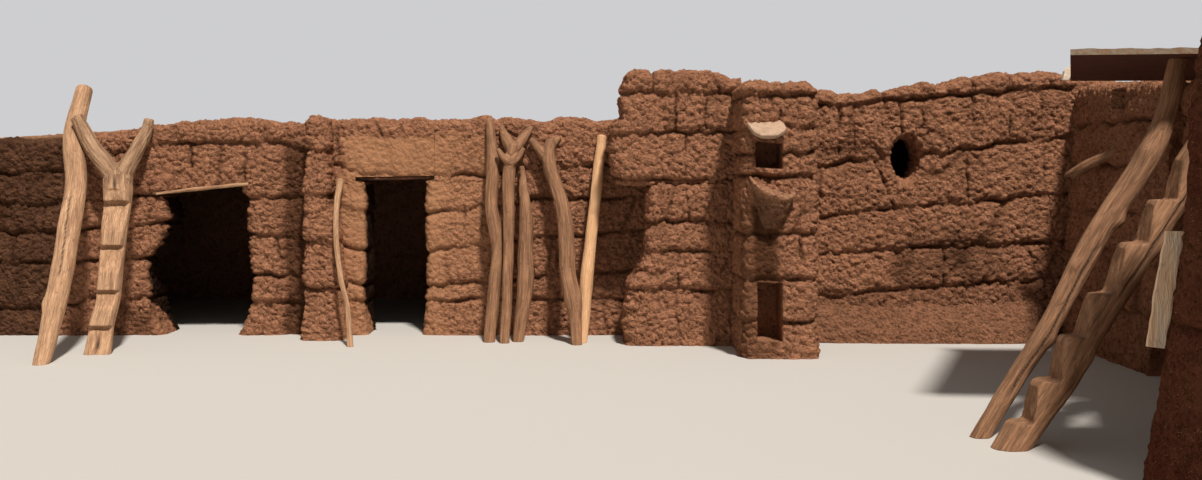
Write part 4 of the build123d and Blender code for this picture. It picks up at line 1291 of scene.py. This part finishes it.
class MUD_OT_leaning_poles(bpy.types.Operator):
    """Lean the plain log, the slim pole, the posts, the forked log and the peeled pole on the low wall"""
    bl_idname = "mudhouse.leaning_poles"
    bl_label = "Leaning poles and posts"

    def execute(self, context):
        left_log = before_wall([(-3676, 1600, 0, 62), (-3691, 1494, 126, 72), (-3737, 1241, 424, 86),
                                (-3790, 975, 739, 92), (-3863, 693, 1072, 95), (-3945, 395, 1425, 90),
                                (-4090, 0, 1823, 92), (-4175, -290, 2300, 76)])
        wood_piece("plain_left_log", [left_log], "weathered_log", "left_leaning_log",
                   cracks=[(0.02, 0.9, 1.9, -0.02, 0.006, 0.012)],
                   knots=[(-0.07, -0.05, 0.7, 0.035, 0.016), (0.06, -0.06, 1.35, 0.03, 0.014)])
        slim = before_wall([(-1425, 710, 0, 30), (-1484, 570, 356, 22), (-1550, 490, 552, 22),
                            (-1615, 390, 846, 26),
                            (-1652, 230, 1208, 28), (-1650, 0, 1440, 32)])
        wood_piece("slim_leaning_pole", [slim], "weathered_log", "slim_pole", voxel=0.008)
        left_post = before_wall([(-245, 430, 0, 55), (-204, 340, 511, 58), (-184, 290, 786, 54),
                                 (-200, 260, 947, 66),
                                 (-248, 215, 1198, 58), (-238, 150, 1541, 64), (-268, 0, 1880, 44),
                                 (-285, 70, 2010, 26)])
        wood_piece("crooked_left_post", [left_post], "weathered_log", "left_post", looks=post_wood())
        trunk = before_wall([(-104, 490, 0, 46), (-82, 392, 655, 46), (-82, 320, 1064, 50),
                             (-87, 230, 1478, 60),
                             (-50, 160, 1760, 58)])
        prongs = [before_wall([(-60, 170, 1690, 50), (-110, 120, 1800, 52), (-160, 40, 1900, 34),
                               (-176, 20, 1945, 16)]),
                  before_wall([(-50, 170, 1690, 50), (20, 120, 1800, 50), (82, 40, 1890, 36),
                               (112, 20, 1935, 16)]),
                  before_wall([(-74, 240, 1600, 44), (-130, 240, 1640, 32), (-190, 225, 1725, 20)]),
                  before_wall([(-74, 240, 1600, 44), (-10, 240, 1640, 32), (52, 225, 1730, 20)])]
        wood_piece("fork_topped_post", [trunk] + prongs, "weathered_log", "forked_post", voxel=0.009,
                   looks=post_wood())
        right_post = before_wall([(11, 400, 0, 52), (67, 320, 507, 78), (65, 260, 784, 70),
                                  (68, 210, 1062, 64),
                                  (43, 150, 1333, 46), (26, 0, 1500, 30), (20, 62, 1570, 22)])
        wood_piece("short_right_post", [right_post], "weathered_log", "right_post", looks=post_wood())
        forked = before_wall([(540, 590, 0, 50), (525, 544, 210, 54), (502, 500, 391, 82),
                              (457, 430, 590, 72),
                              (442, 360, 862, 74), (408, 280, 1172, 64), (334, 190, 1405, 62),
                              (273, 140, 1614, 66),
                              (285, 0, 1810, 52)])
        stub = before_wall([(273, 140, 1600, 44), (190, 110, 1710, 42), (100, 80, 1815, 34)])
        nub = before_wall([(285, 90, 1760, 50), (330, 60, 1800, 34), (372, 50, 1830, 22)])
        wood_piece("forked_leaning_log", [forked, stub, nub], "weathered_log", "leaning_forked_log",
                   voxel=0.01, looks=post_wood())
        peeled = before_wall([(575, 460, 0, 56), (590, 430, 147, 56), (620, 360, 540, 60),
                              (660, 280, 923, 54),
                              (705, 190, 1333, 52), (759, 0, 1850, 46)])
        wood_piece("flat_topped_peeled_pole", [peeled], "pale_wood", "peeled_pole",
                   looks=wood_material("peeled_wood", "peeled", "peeled_dark", 0.25))
        return {"FINISHED"}


class MUD_OT_left_ladder(bpy.types.Operator):
    """Carve the forked log ladder with its notched steps"""
    bl_idname = "mudhouse.left_ladder"
    bl_label = "Left notched ladder"

    def execute(self, context):
        stem = before_wall([(-3445, 1110, 0, 110), (-3460, 986, 225, 101), (-3455, 899, 384, 96),
                            (-3471, 810, 545, 99), (-3519, 623, 885, 105), (-3560, 429, 1238, 118),
                            (-3597, 327, 1450, 128)])
        arms = [before_wall([(-3610, 322, 1420, 90), (-3690, 275, 1530, 86), (-3855, 230, 1714, 78),
                             (-4040, 170, 2020, 56)]),
                before_wall([(-3580, 322, 1420, 88), (-3555, 265, 1530, 84), (-3485, 160, 1733, 70),
                             (-3440, 0, 1880, 56), (-3410, 78, 2004, 46)])]
        notches = [(-0.1, 0.215), (0.35, 0.5), (0.65, 0.87), (0.99, 1.25)]
        fronts = [(0.215, 0.35), (0.5, 0.65), (0.87, 0.99), (1.25, 1.34)]
        hewn, bed = 0.68, 0.12
        profile = []
        for nose, undercut in notches:
            _, low_y, low_radius = place_at(stem, nose)
            _, y, radius = place_at(stem, undercut)
            profile += [(low_y - hewn * low_radius, nose), (y - bed * radius, undercut),
                        (y - hewn * radius, undercut + 0.006)]
        _, y, radius = place_at(stem, 1.36)
        profile += [(y - 0.9 * radius, 1.36), (y - 2.2 * radius, 1.4), (profile[0][0] - 0.2, -0.1)]
        cutters = wedge(profile, -3.85, -3.15)
        wood_piece("forked_log_ladder", [stem] + arms, "pale_wood", "left_notched_ladder", cutters=cutters,
                   voxel=0.0095, cracks=[(0.0, 0.1, 0.32, 0, 0.014, 0.022),
                                         (0.01, 1.6, 1.78, 0, 0.016, 0.028)],
                   barky=lambda z: max(rise(z, 1.34, 1.46),
                                       0.45 * any(low < z < high for low, high in fronts)))
        return {"FINISHED"}


def by_court_wall(rings):
    """Rings of X from the court wall's near end, Y, height and radius, in metres, as places with radii."""
    return [(court_near + x / 1000, y / 1000, z / 1000, radius / 1000) for x, y, z, radius in rings]


class MUD_OT_right_log_and_ladder(bpy.types.Operator):
    """Stand the plain log and the notched log ladder in the court's right corner"""
    bl_idname = "mudhouse.right_log_and_ladder"
    bl_label = "Right log and ladder"

    def execute(self, context):
        log = by_court_wall([(-1270, -2930, -90, 52), (-1002, -2884, 328, 56), (-827, -2857, 573, 57),
                             (-507, -2796, 1127, 70), (-177, -2744, 1603, 71), (-83, -2725, 1775, 62),
                             (60, -2690, 2260, 60)])
        wood_piece("plain_right_log", [log], "weathered_log", "right_leaning_log", ceiling=2.2,
                   looks=post_wood(),
                   cracks=[(0.0, 0.35, 1.5, 0.01, 0.007, 0.016)],
                   knots=[(0.04, -0.05, 0.8, 0.03, 0.022), (-0.045, -0.04, 1.25, 0.028, 0.02),
                          (0.055, -0.03, 1.62, 0.03, 0.024), (-0.05, -0.04, 2.05, 0.03, 0.022)])
        stem = by_court_wall([(-1190, -3190, -90, 92), (-1006, -3162, 178, 100), (-859, -3143, 374, 106),
                              (-710, -3118, 616, 102), (-543, -3095, 848, 100), (-351, -3067, 1127, 100),
                              (-181, -3043, 1369, 96), (70, -3010, 1750, 84), (200, -3010, 1960, 76)])
        treads = (0.145, 0.372, 0.613, 0.849, 1.129, 1.37, 1.62)
        cutters = []
        for tread, upper in zip(treads, treads[1:]):
            x, y, radius = place_at(stem, tread)
            upper_x, _, upper_radius = place_at(stem, upper - 0.03)
            corners = [(x - 1.16 * radius + 0.11, tread), (x - 2.5 * radius, tread),
                       (upper_x - 2.5 * upper_radius, upper - 0.03),
                       (upper_x - 1.02 * upper_radius, upper - 0.03)]
            bm = wedge(corners, -0.3, 0.3)
            bmesh.ops.rotate(bm, verts=bm.verts[:], cent=(0, 0, 0), matrix=Matrix.Rotation(-pi / 2, 3, "Z"))
            bmesh.ops.translate(bm, verts=bm.verts[:], vec=(0, y, 0))
            cutters.append(bm)
        wood_piece("notched_right_ladder", [stem], "weathered_log", "right_notched_ladder",
                   cutters=joined(cutters),
                   voxel=0.0095, looks=post_wood(), cracks=[(0.02, 1.1, 2.0, 0.02, 0.006, 0.014)],
                   knots=[(0.07, -0.06, 0.75, 0.04, 0.02), (0.06, -0.07, 1.5, 0.035, 0.022)])
        return {"FINISHED"}


class MUD_OT_lintels(bpy.types.Operator):
    """Lay the lintel sticks over the doorways"""
    bl_idname = "mudhouse.lintels"
    bl_label = "Doorway lintels"

    def execute(self, context):
        stick = [(-3.37, 1.155, 1.313, 0.013), (-3.0, 1.15, 1.352, 0.017), (-2.51, 1.155, 1.403, 0.015)]
        wood_piece("pale_lintel_stick", [stick], "pale_wood", None, floor=False, voxel=0.006)
        paint_node("left_doorway_lintel", plain_relief("pale_lintel", tint("peeled"), tint("wood_light"), 50,
                                                       0.004, 0.8))
        paint_node("right_doorway_lintel", plain_relief("muddy_lintel", tint("mud_dark"), tint("soot_and_shade"), 50,
                                                        0.01, 0.9))
        return {"FINISHED"}


# Materials

def new_material(name):
    """A material with its tree emptied down to a shader and an output."""
    material = bpy.data.materials.new(name)
    material.use_nodes = True
    tree = material.node_tree
    shader = tree.nodes["Principled BSDF"]
    shader.inputs["Specular IOR Level"].default_value = 0.25
    return material, tree, shader


def put(tree, kind, inputs=None, **settings):
    """A node with its settings, and its inputs set or linked."""
    node = tree.nodes.new(kind)
    for key, value in settings.items():
        setattr(node, key, value)
    for key, value in (inputs or {}).items():
        if isinstance(value, bpy.types.NodeSocket):
            tree.links.new(value, node.inputs[key])
        else:
            node.inputs[key].default_value = value
    return node


def mixed(tree, share, first, second):
    """Two colours mixed by a share."""
    return put(tree, "ShaderNodeMix", {0: share, 6: first, 7: second}, data_type="RGBA").outputs[2]


def spread(tree, value, low, high):
    """A value stretched so that low becomes 0 and high 1."""
    return put(tree, "ShaderNodeMapRange", {"Value": value, "From Min": low,
                                            "From Max": high}).outputs["Result"]


def sums(tree, operation, *values):
    """A sum of two or three values."""
    return put(tree, "ShaderNodeMath", dict(enumerate(values)), operation=operation,
               use_clamp=True).outputs[0]


def grains(tree, where, scale, detail=4, roughness=0.6):
    """Noise of a scale at a place."""
    return put(tree, "ShaderNodeTexNoise", {"Vector": where, "Scale": scale, "Detail": detail,
                                            "Roughness": roughness}).outputs["Fac"]


def kept(make):
    """Make a material once and give it again when asked again."""
    def once(*names):
        known = bpy.data.materials.get(names[0] if names else make.__name__)
        return known or make(*names)
    return once


@kept
def mud_material(name, light, dark):
    """Bare coursed mud, with plaster, smoke black and straw where they show, and painted shade in its joints,
    creases and the dips between its grains.
    """
    material, tree, shader = new_material(name)
    where = put(tree, "ShaderNodeTexCoord").outputs["Object"]
    read = {n: put(tree, "ShaderNodeAttribute", attribute_name=n).outputs["Fac"]
            for n in ("painted_shade", "soot_and_shade", "smooth_mud")}
    wide = spread(tree, grains(tree, where, 1.1, 3), 0.35, 0.65)
    patches = spread(tree, grains(tree, where, 9, 6, 0.7), 0.34, 0.66)
    lumps = grains(tree, where, 34, 4, 0.7)
    fine = spread(tree, grains(tree, where, 95, 4, 0.7), 0.36, 0.64)
    wander = put(tree, "ShaderNodeTexNoise", {"Vector": where, "Scale": 40.0, "Detail": 2.0}).outputs["Color"]
    bent = put(tree, "ShaderNodeVectorMath", {0: wander, 1: (0.022, 0.022, 0.022), 2: where},
               operation="MULTIPLY_ADD")
    pebbles = put(tree, "ShaderNodeTexVoronoi", {"Vector": bent.outputs["Vector"], "Scale": 34.0},
                  feature="F1").outputs["Distance"]
    pebbles = spread(tree, pebbles, 0.72, 0.12)
    # Painted shade in the small dips between the grains.
    painted_pit_shade = spread(tree, lumps, 0.47, 0.34)
    straw = spread(tree, grains(tree, where, 120, 1, 0.5), 0.7, 0.76)
    body = mixed(tree, sums(tree, "MULTIPLY_ADD", patches, 0.5, sums(tree, "MULTIPLY", fine, 0.5)),
                 tint(dark), tint(light))
    body = mixed(tree, sums(tree, "MULTIPLY", wide, 0.2), body, tint("plaster"))
    worked = mixed(tree, sums(tree, "MULTIPLY", fine, 0.25), tint("plaster"), tint("mud_dark"))
    body = mixed(tree, read["smooth_mud"], body, worked)
    bare = sums(tree, "SUBTRACT", 0.75, sums(tree, "MULTIPLY", read["smooth_mud"], 0.5))
    body = mixed(tree, sums(tree, "MULTIPLY", painted_pit_shade, bare), body, tint("mud_deep"))
    body = mixed(tree, sums(tree, "MULTIPLY", straw, 0.6), body, linear(232, 200, 164) + (1,))
    black = mixed(tree, sums(tree, "MULTIPLY", patches, 0.5), tint("soot_and_shade"), linear(66, 46, 34) + (1,))
    body = mixed(tree, read["soot_and_shade"], body, black)
    # Painted shade in the creases, joints, cracks and shadowed corners.
    body = mixed(tree, read["painted_shade"], body, tint("mud_deep"))
    tree.links.new(body, shader.inputs["Base Color"])
    shader.inputs["Roughness"].default_value = 0.95
    shader.inputs["Specular IOR Level"].default_value = 0
    height = sums(tree, "MULTIPLY_ADD", spread(tree, lumps, 0.3, 0.66), 0.3,
                  sums(tree, "MULTIPLY", fine, 0.2))
    height = sums(tree, "MULTIPLY_ADD", pebbles, 0.5, height)
    strength = sums(tree, "SUBTRACT", 1.0, sums(tree, "MULTIPLY", read["smooth_mud"], 0.6))
    bump = put(tree, "ShaderNodeBump", {"Height": height, "Distance": 0.028, "Strength": strength})
    tree.links.new(bump.outputs["Normal"], shader.inputs["Normal"])
    return material


def bare_mud():
    """The material of most walls."""
    return mud_material("bare_mud", "mud_light", "mud_dark")


@kept
def inner_painted_shade_mud():
    """Smoothed mud inside the rooms, painted nearly black as the shade of the rooms."""
    return plain_relief("inner_painted_shade_mud", linear(70, 50, 36) + (1,), tint("soot_and_shade"), 30, 0.01, 0.9)


@kept
def earth_material():
    """Beaten roof earth with small stones."""
    material, tree, shader = new_material("earth_material")
    where = put(tree, "ShaderNodeTexCoord").outputs["Object"]
    wide = spread(tree, grains(tree, where, 1.6, 4), 0.35, 0.65)
    fine = spread(tree, grains(tree, where, 60, 5, 0.7), 0.35, 0.65)
    body = mixed(tree, sums(tree, "MULTIPLY_ADD", wide, 0.4, sums(tree, "MULTIPLY", fine, 0.4)),
                 tint("earth"), tint("mud_dark"))
    tree.links.new(body, shader.inputs["Base Color"])
    shader.inputs["Roughness"].default_value = 0.95
    bump = put(tree, "ShaderNodeBump", {"Height": fine, "Distance": 0.012, "Strength": 0.8})
    tree.links.new(bump.outputs["Normal"], shader.inputs["Normal"])
    return material


def plain_relief(name, first, second, scale, distance, rough):
    """A material of two colours in grains, with their relief."""
    material, tree, shader = new_material(name)
    where = put(tree, "ShaderNodeTexCoord").outputs["Object"]
    wide = spread(tree, grains(tree, where, scale / 8, 4), 0.35, 0.65)
    fine = spread(tree, grains(tree, where, scale, 5, 0.7), 0.35, 0.65)
    share = sums(tree, "MULTIPLY_ADD", wide, 0.5, sums(tree, "MULTIPLY", fine, 0.5))
    tree.links.new(mixed(tree, share, first, second), shader.inputs["Base Color"])
    shader.inputs["Roughness"].default_value = rough
    bump = put(tree, "ShaderNodeBump", {"Height": fine, "Distance": distance, "Strength": 0.7})
    tree.links.new(bump.outputs["Normal"], shader.inputs["Normal"])
    return material


@kept
def stone_material():
    """Pale weathered stone."""
    return plain_relief("stone_material", tint("stone"), linear(150, 120, 94) + (1,), 90, 0.004, 0.85)


@kept
def soffit_painted_shade_material():
    """Dark red-brown underside of the shade roof's boards: painted shade."""
    return plain_relief("soffit_painted_shade_material", tint("soffit"), linear(60, 30, 22) + (1,), 40, 0.004, 0.85)


@kept
def brush_material():
    """Old sticks and joists, darkened by smoke."""
    return plain_relief("brush_material", tint("brush"), tint("soot_and_shade"), 80, 0.01, 0.9)


@kept
def wood_material(name, light, dark, cracked):
    """Weathered wood with its grain along the trunk, cracked by a share, with painted shade in its cracks."""
    material, tree, shader = new_material(name)
    where = put(tree, "ShaderNodeAttribute", attribute_name="grain").outputs["Vector"]
    painted_shade = put(tree, "ShaderNodeAttribute", attribute_name="painted_shade").outputs["Fac"]
    drawn = put(tree, "ShaderNodeMapping", {"Vector": where, "Scale": (1, 1, 0.09)}).outputs["Vector"]
    streaks = spread(tree, grains(tree, drawn, 95, 4, 0.65), 0.36, 0.64)
    broad = spread(tree, grains(tree, drawn, 26, 3, 0.6), 0.36, 0.64)
    patches = spread(tree, grains(tree, where, 8, 4, 0.6), 0.38, 0.66)
    lines = put(tree, "ShaderNodeTexVoronoi", {"Vector": drawn, "Scale": 45.0},
                feature="DISTANCE_TO_EDGE").outputs["Distance"]
    lines = spread(tree, lines, 0.05, 0.0)
    share = sums(tree, "MULTIPLY_ADD", streaks, 0.45, sums(tree, "MULTIPLY", broad, 0.45))
    body = mixed(tree, share, tint(dark), tint(light))
    body = mixed(tree, sums(tree, "MULTIPLY", patches, 0.3), body, tint(dark))
    bark = put(tree, "ShaderNodeAttribute", attribute_name="bark").outputs["Fac"]
    body = mixed(tree, sums(tree, "MULTIPLY", bark, 0.6), body,
                 mixed(tree, broad, tint("post_dark"), tint("bark")))
    gaps = sums(tree, "MULTIPLY", sums(tree, "MULTIPLY", lines, streaks), cracked)
    body = mixed(tree, gaps, body, linear(74, 50, 34) + (1,))
    # Painted shade in the cracks.
    body = mixed(tree, painted_shade, body, linear(40, 26, 18) + (1,))
    tree.links.new(body, shader.inputs["Base Color"])
    shader.inputs["Roughness"].default_value = 0.75
    height = sums(tree, "MULTIPLY_ADD", streaks, 0.6, sums(tree, "SUBTRACT", 0.4,
                                                           sums(tree, "MULTIPLY", lines, 0.4)))
    bump = put(tree, "ShaderNodeBump", {"Height": height, "Distance": 0.006, "Strength": 0.8})
    tree.links.new(bump.outputs["Normal"], shader.inputs["Normal"])
    return material


def log_wood():
    """The material of the logs and ladders."""
    return wood_material("log_wood", "wood_light", "wood_dark", 0.7)


def post_wood():
    """The dusty brown of the posts."""
    return wood_material("post_wood", "post_light", "post_dark", 0.7)


# Stage

class MUD_OT_stage(bpy.types.Operator):
    """Set the floor, the background, the lights and the camera"""
    bl_idname = "mudhouse.stage"
    bl_label = "Stage"

    def execute(self, context):
        scene = context.scene
        bm = bmesh.new()
        bmesh.ops.create_grid(bm, x_segments=1, y_segments=1, size=60)
        mesh = bpy.data.meshes.new("floor")
        bm.to_mesh(mesh)
        bm.free()
        floor = bpy.data.objects.new("floor", mesh)
        scene.collection.objects.link(floor)
        material, _, shader = new_material("floor_material")
        shader.inputs["Base Color"].default_value = (0.5, 0.47, 0.43, 1)
        shader.inputs["Roughness"].default_value = 1
        mesh.materials.append(material)

        world = bpy.data.worlds.new("studio")
        scene.world = world
        world.use_nodes = True
        tree = world.node_tree
        light = tree.nodes["Background"]
        light.inputs["Color"].default_value = (1, 0.96, 0.92, 1)
        light.inputs["Strength"].default_value = 0.27
        paper = put(tree, "ShaderNodeBackground", {"Color": linear(206, 206, 208) + (1,), "Strength": 1.0})
        rays = put(tree, "ShaderNodeLightPath").outputs
        seen = sums(tree, "MAXIMUM", rays["Is Camera Ray"], sums(tree, "MAXIMUM", rays["Is Glossy Ray"],
                                                                 rays["Is Transmission Ray"]))
        either = put(tree, "ShaderNodeMixShader", {0: seen, 1: light.outputs[0], 2: paper.outputs[0]})
        tree.links.new(either.outputs[0], tree.nodes["World Output"].inputs["Surface"])

        lamp = bpy.data.lights.new("sun", "SUN")
        lamp.energy = 4.5
        lamp.angle = radians(5)
        lamp.color = (1, 0.97, 0.92)
        sun = bpy.data.objects.new("sun", lamp)
        sun.rotation_euler = Vector((0.24, -0.62, 1.08)).to_track_quat("Z", "Y").to_euler()
        scene.collection.objects.link(sun)

        eye = bpy.data.cameras.new("camera")
        eye.sensor_width = 36
        eye.lens = 34.98
        eye.shift_y = -72 / 1202
        camera = bpy.data.objects.new("camera", eye)
        camera.location = (0.75, -9.65, 1.55)
        camera.rotation_euler = (pi / 2, 0, 0)
        scene.collection.objects.link(camera)
        scene.camera = camera
        scene.view_settings.view_transform = "Standard"
        return {"FINISHED"}


operators = [
    MUD_OT_stage, MUD_OT_low_front_walls, MUD_OT_low_back_walls, MUD_OT_low_roof, MUD_OT_high_front_left,
    MUD_OT_niche_pier, MUD_OT_vent_walls, MUD_OT_wall_foot, MUD_OT_high_far_walls, MUD_OT_high_roof,
    MUD_OT_return_wall, MUD_OT_court_wall, MUD_OT_court_pier, MUD_OT_shade_roof, MUD_OT_buttress,
    MUD_OT_lintels,
    MUD_OT_leaning_poles, MUD_OT_left_ladder, MUD_OT_right_log_and_ladder]


class MUD_PT_panel(bpy.types.Panel):
    """Lists the house's pieces and its settings"""
    bl_idname = "MUD_PT_panel"
    bl_label = "Mud House"
    bl_space_type = "VIEW_3D"
    bl_region_type = "UI"
    bl_category = "Mud House"

    def draw(self, context):
        for operator in operators:
            self.layout.operator(operator.bl_idname)
        for group in (context.scene.mud_house.sizes, context.scene.mud_house.colours):
            column = self.layout.column()
            for name in group.__annotations__:
                column.prop(group, name)


classes = [MudSizes, HouseColours, HouseSettings, *operators, MUD_PT_panel]


def register():
    noise.seed_set(clod_seed)
    for item in classes:
        bpy.utils.register_class(item)
    bpy.types.Scene.mud_house = PointerProperty(type=HouseSettings)


def unregister():
    del bpy.types.Scene.mud_house
    for item in reversed(classes):
        bpy.utils.unregister_class(item)


def main():
    register()
    for operator in operators:
        group, name = operator.bl_idname.split(".")
        getattr(getattr(bpy.ops, group), name)()


if __name__ == "__main__":
    main()
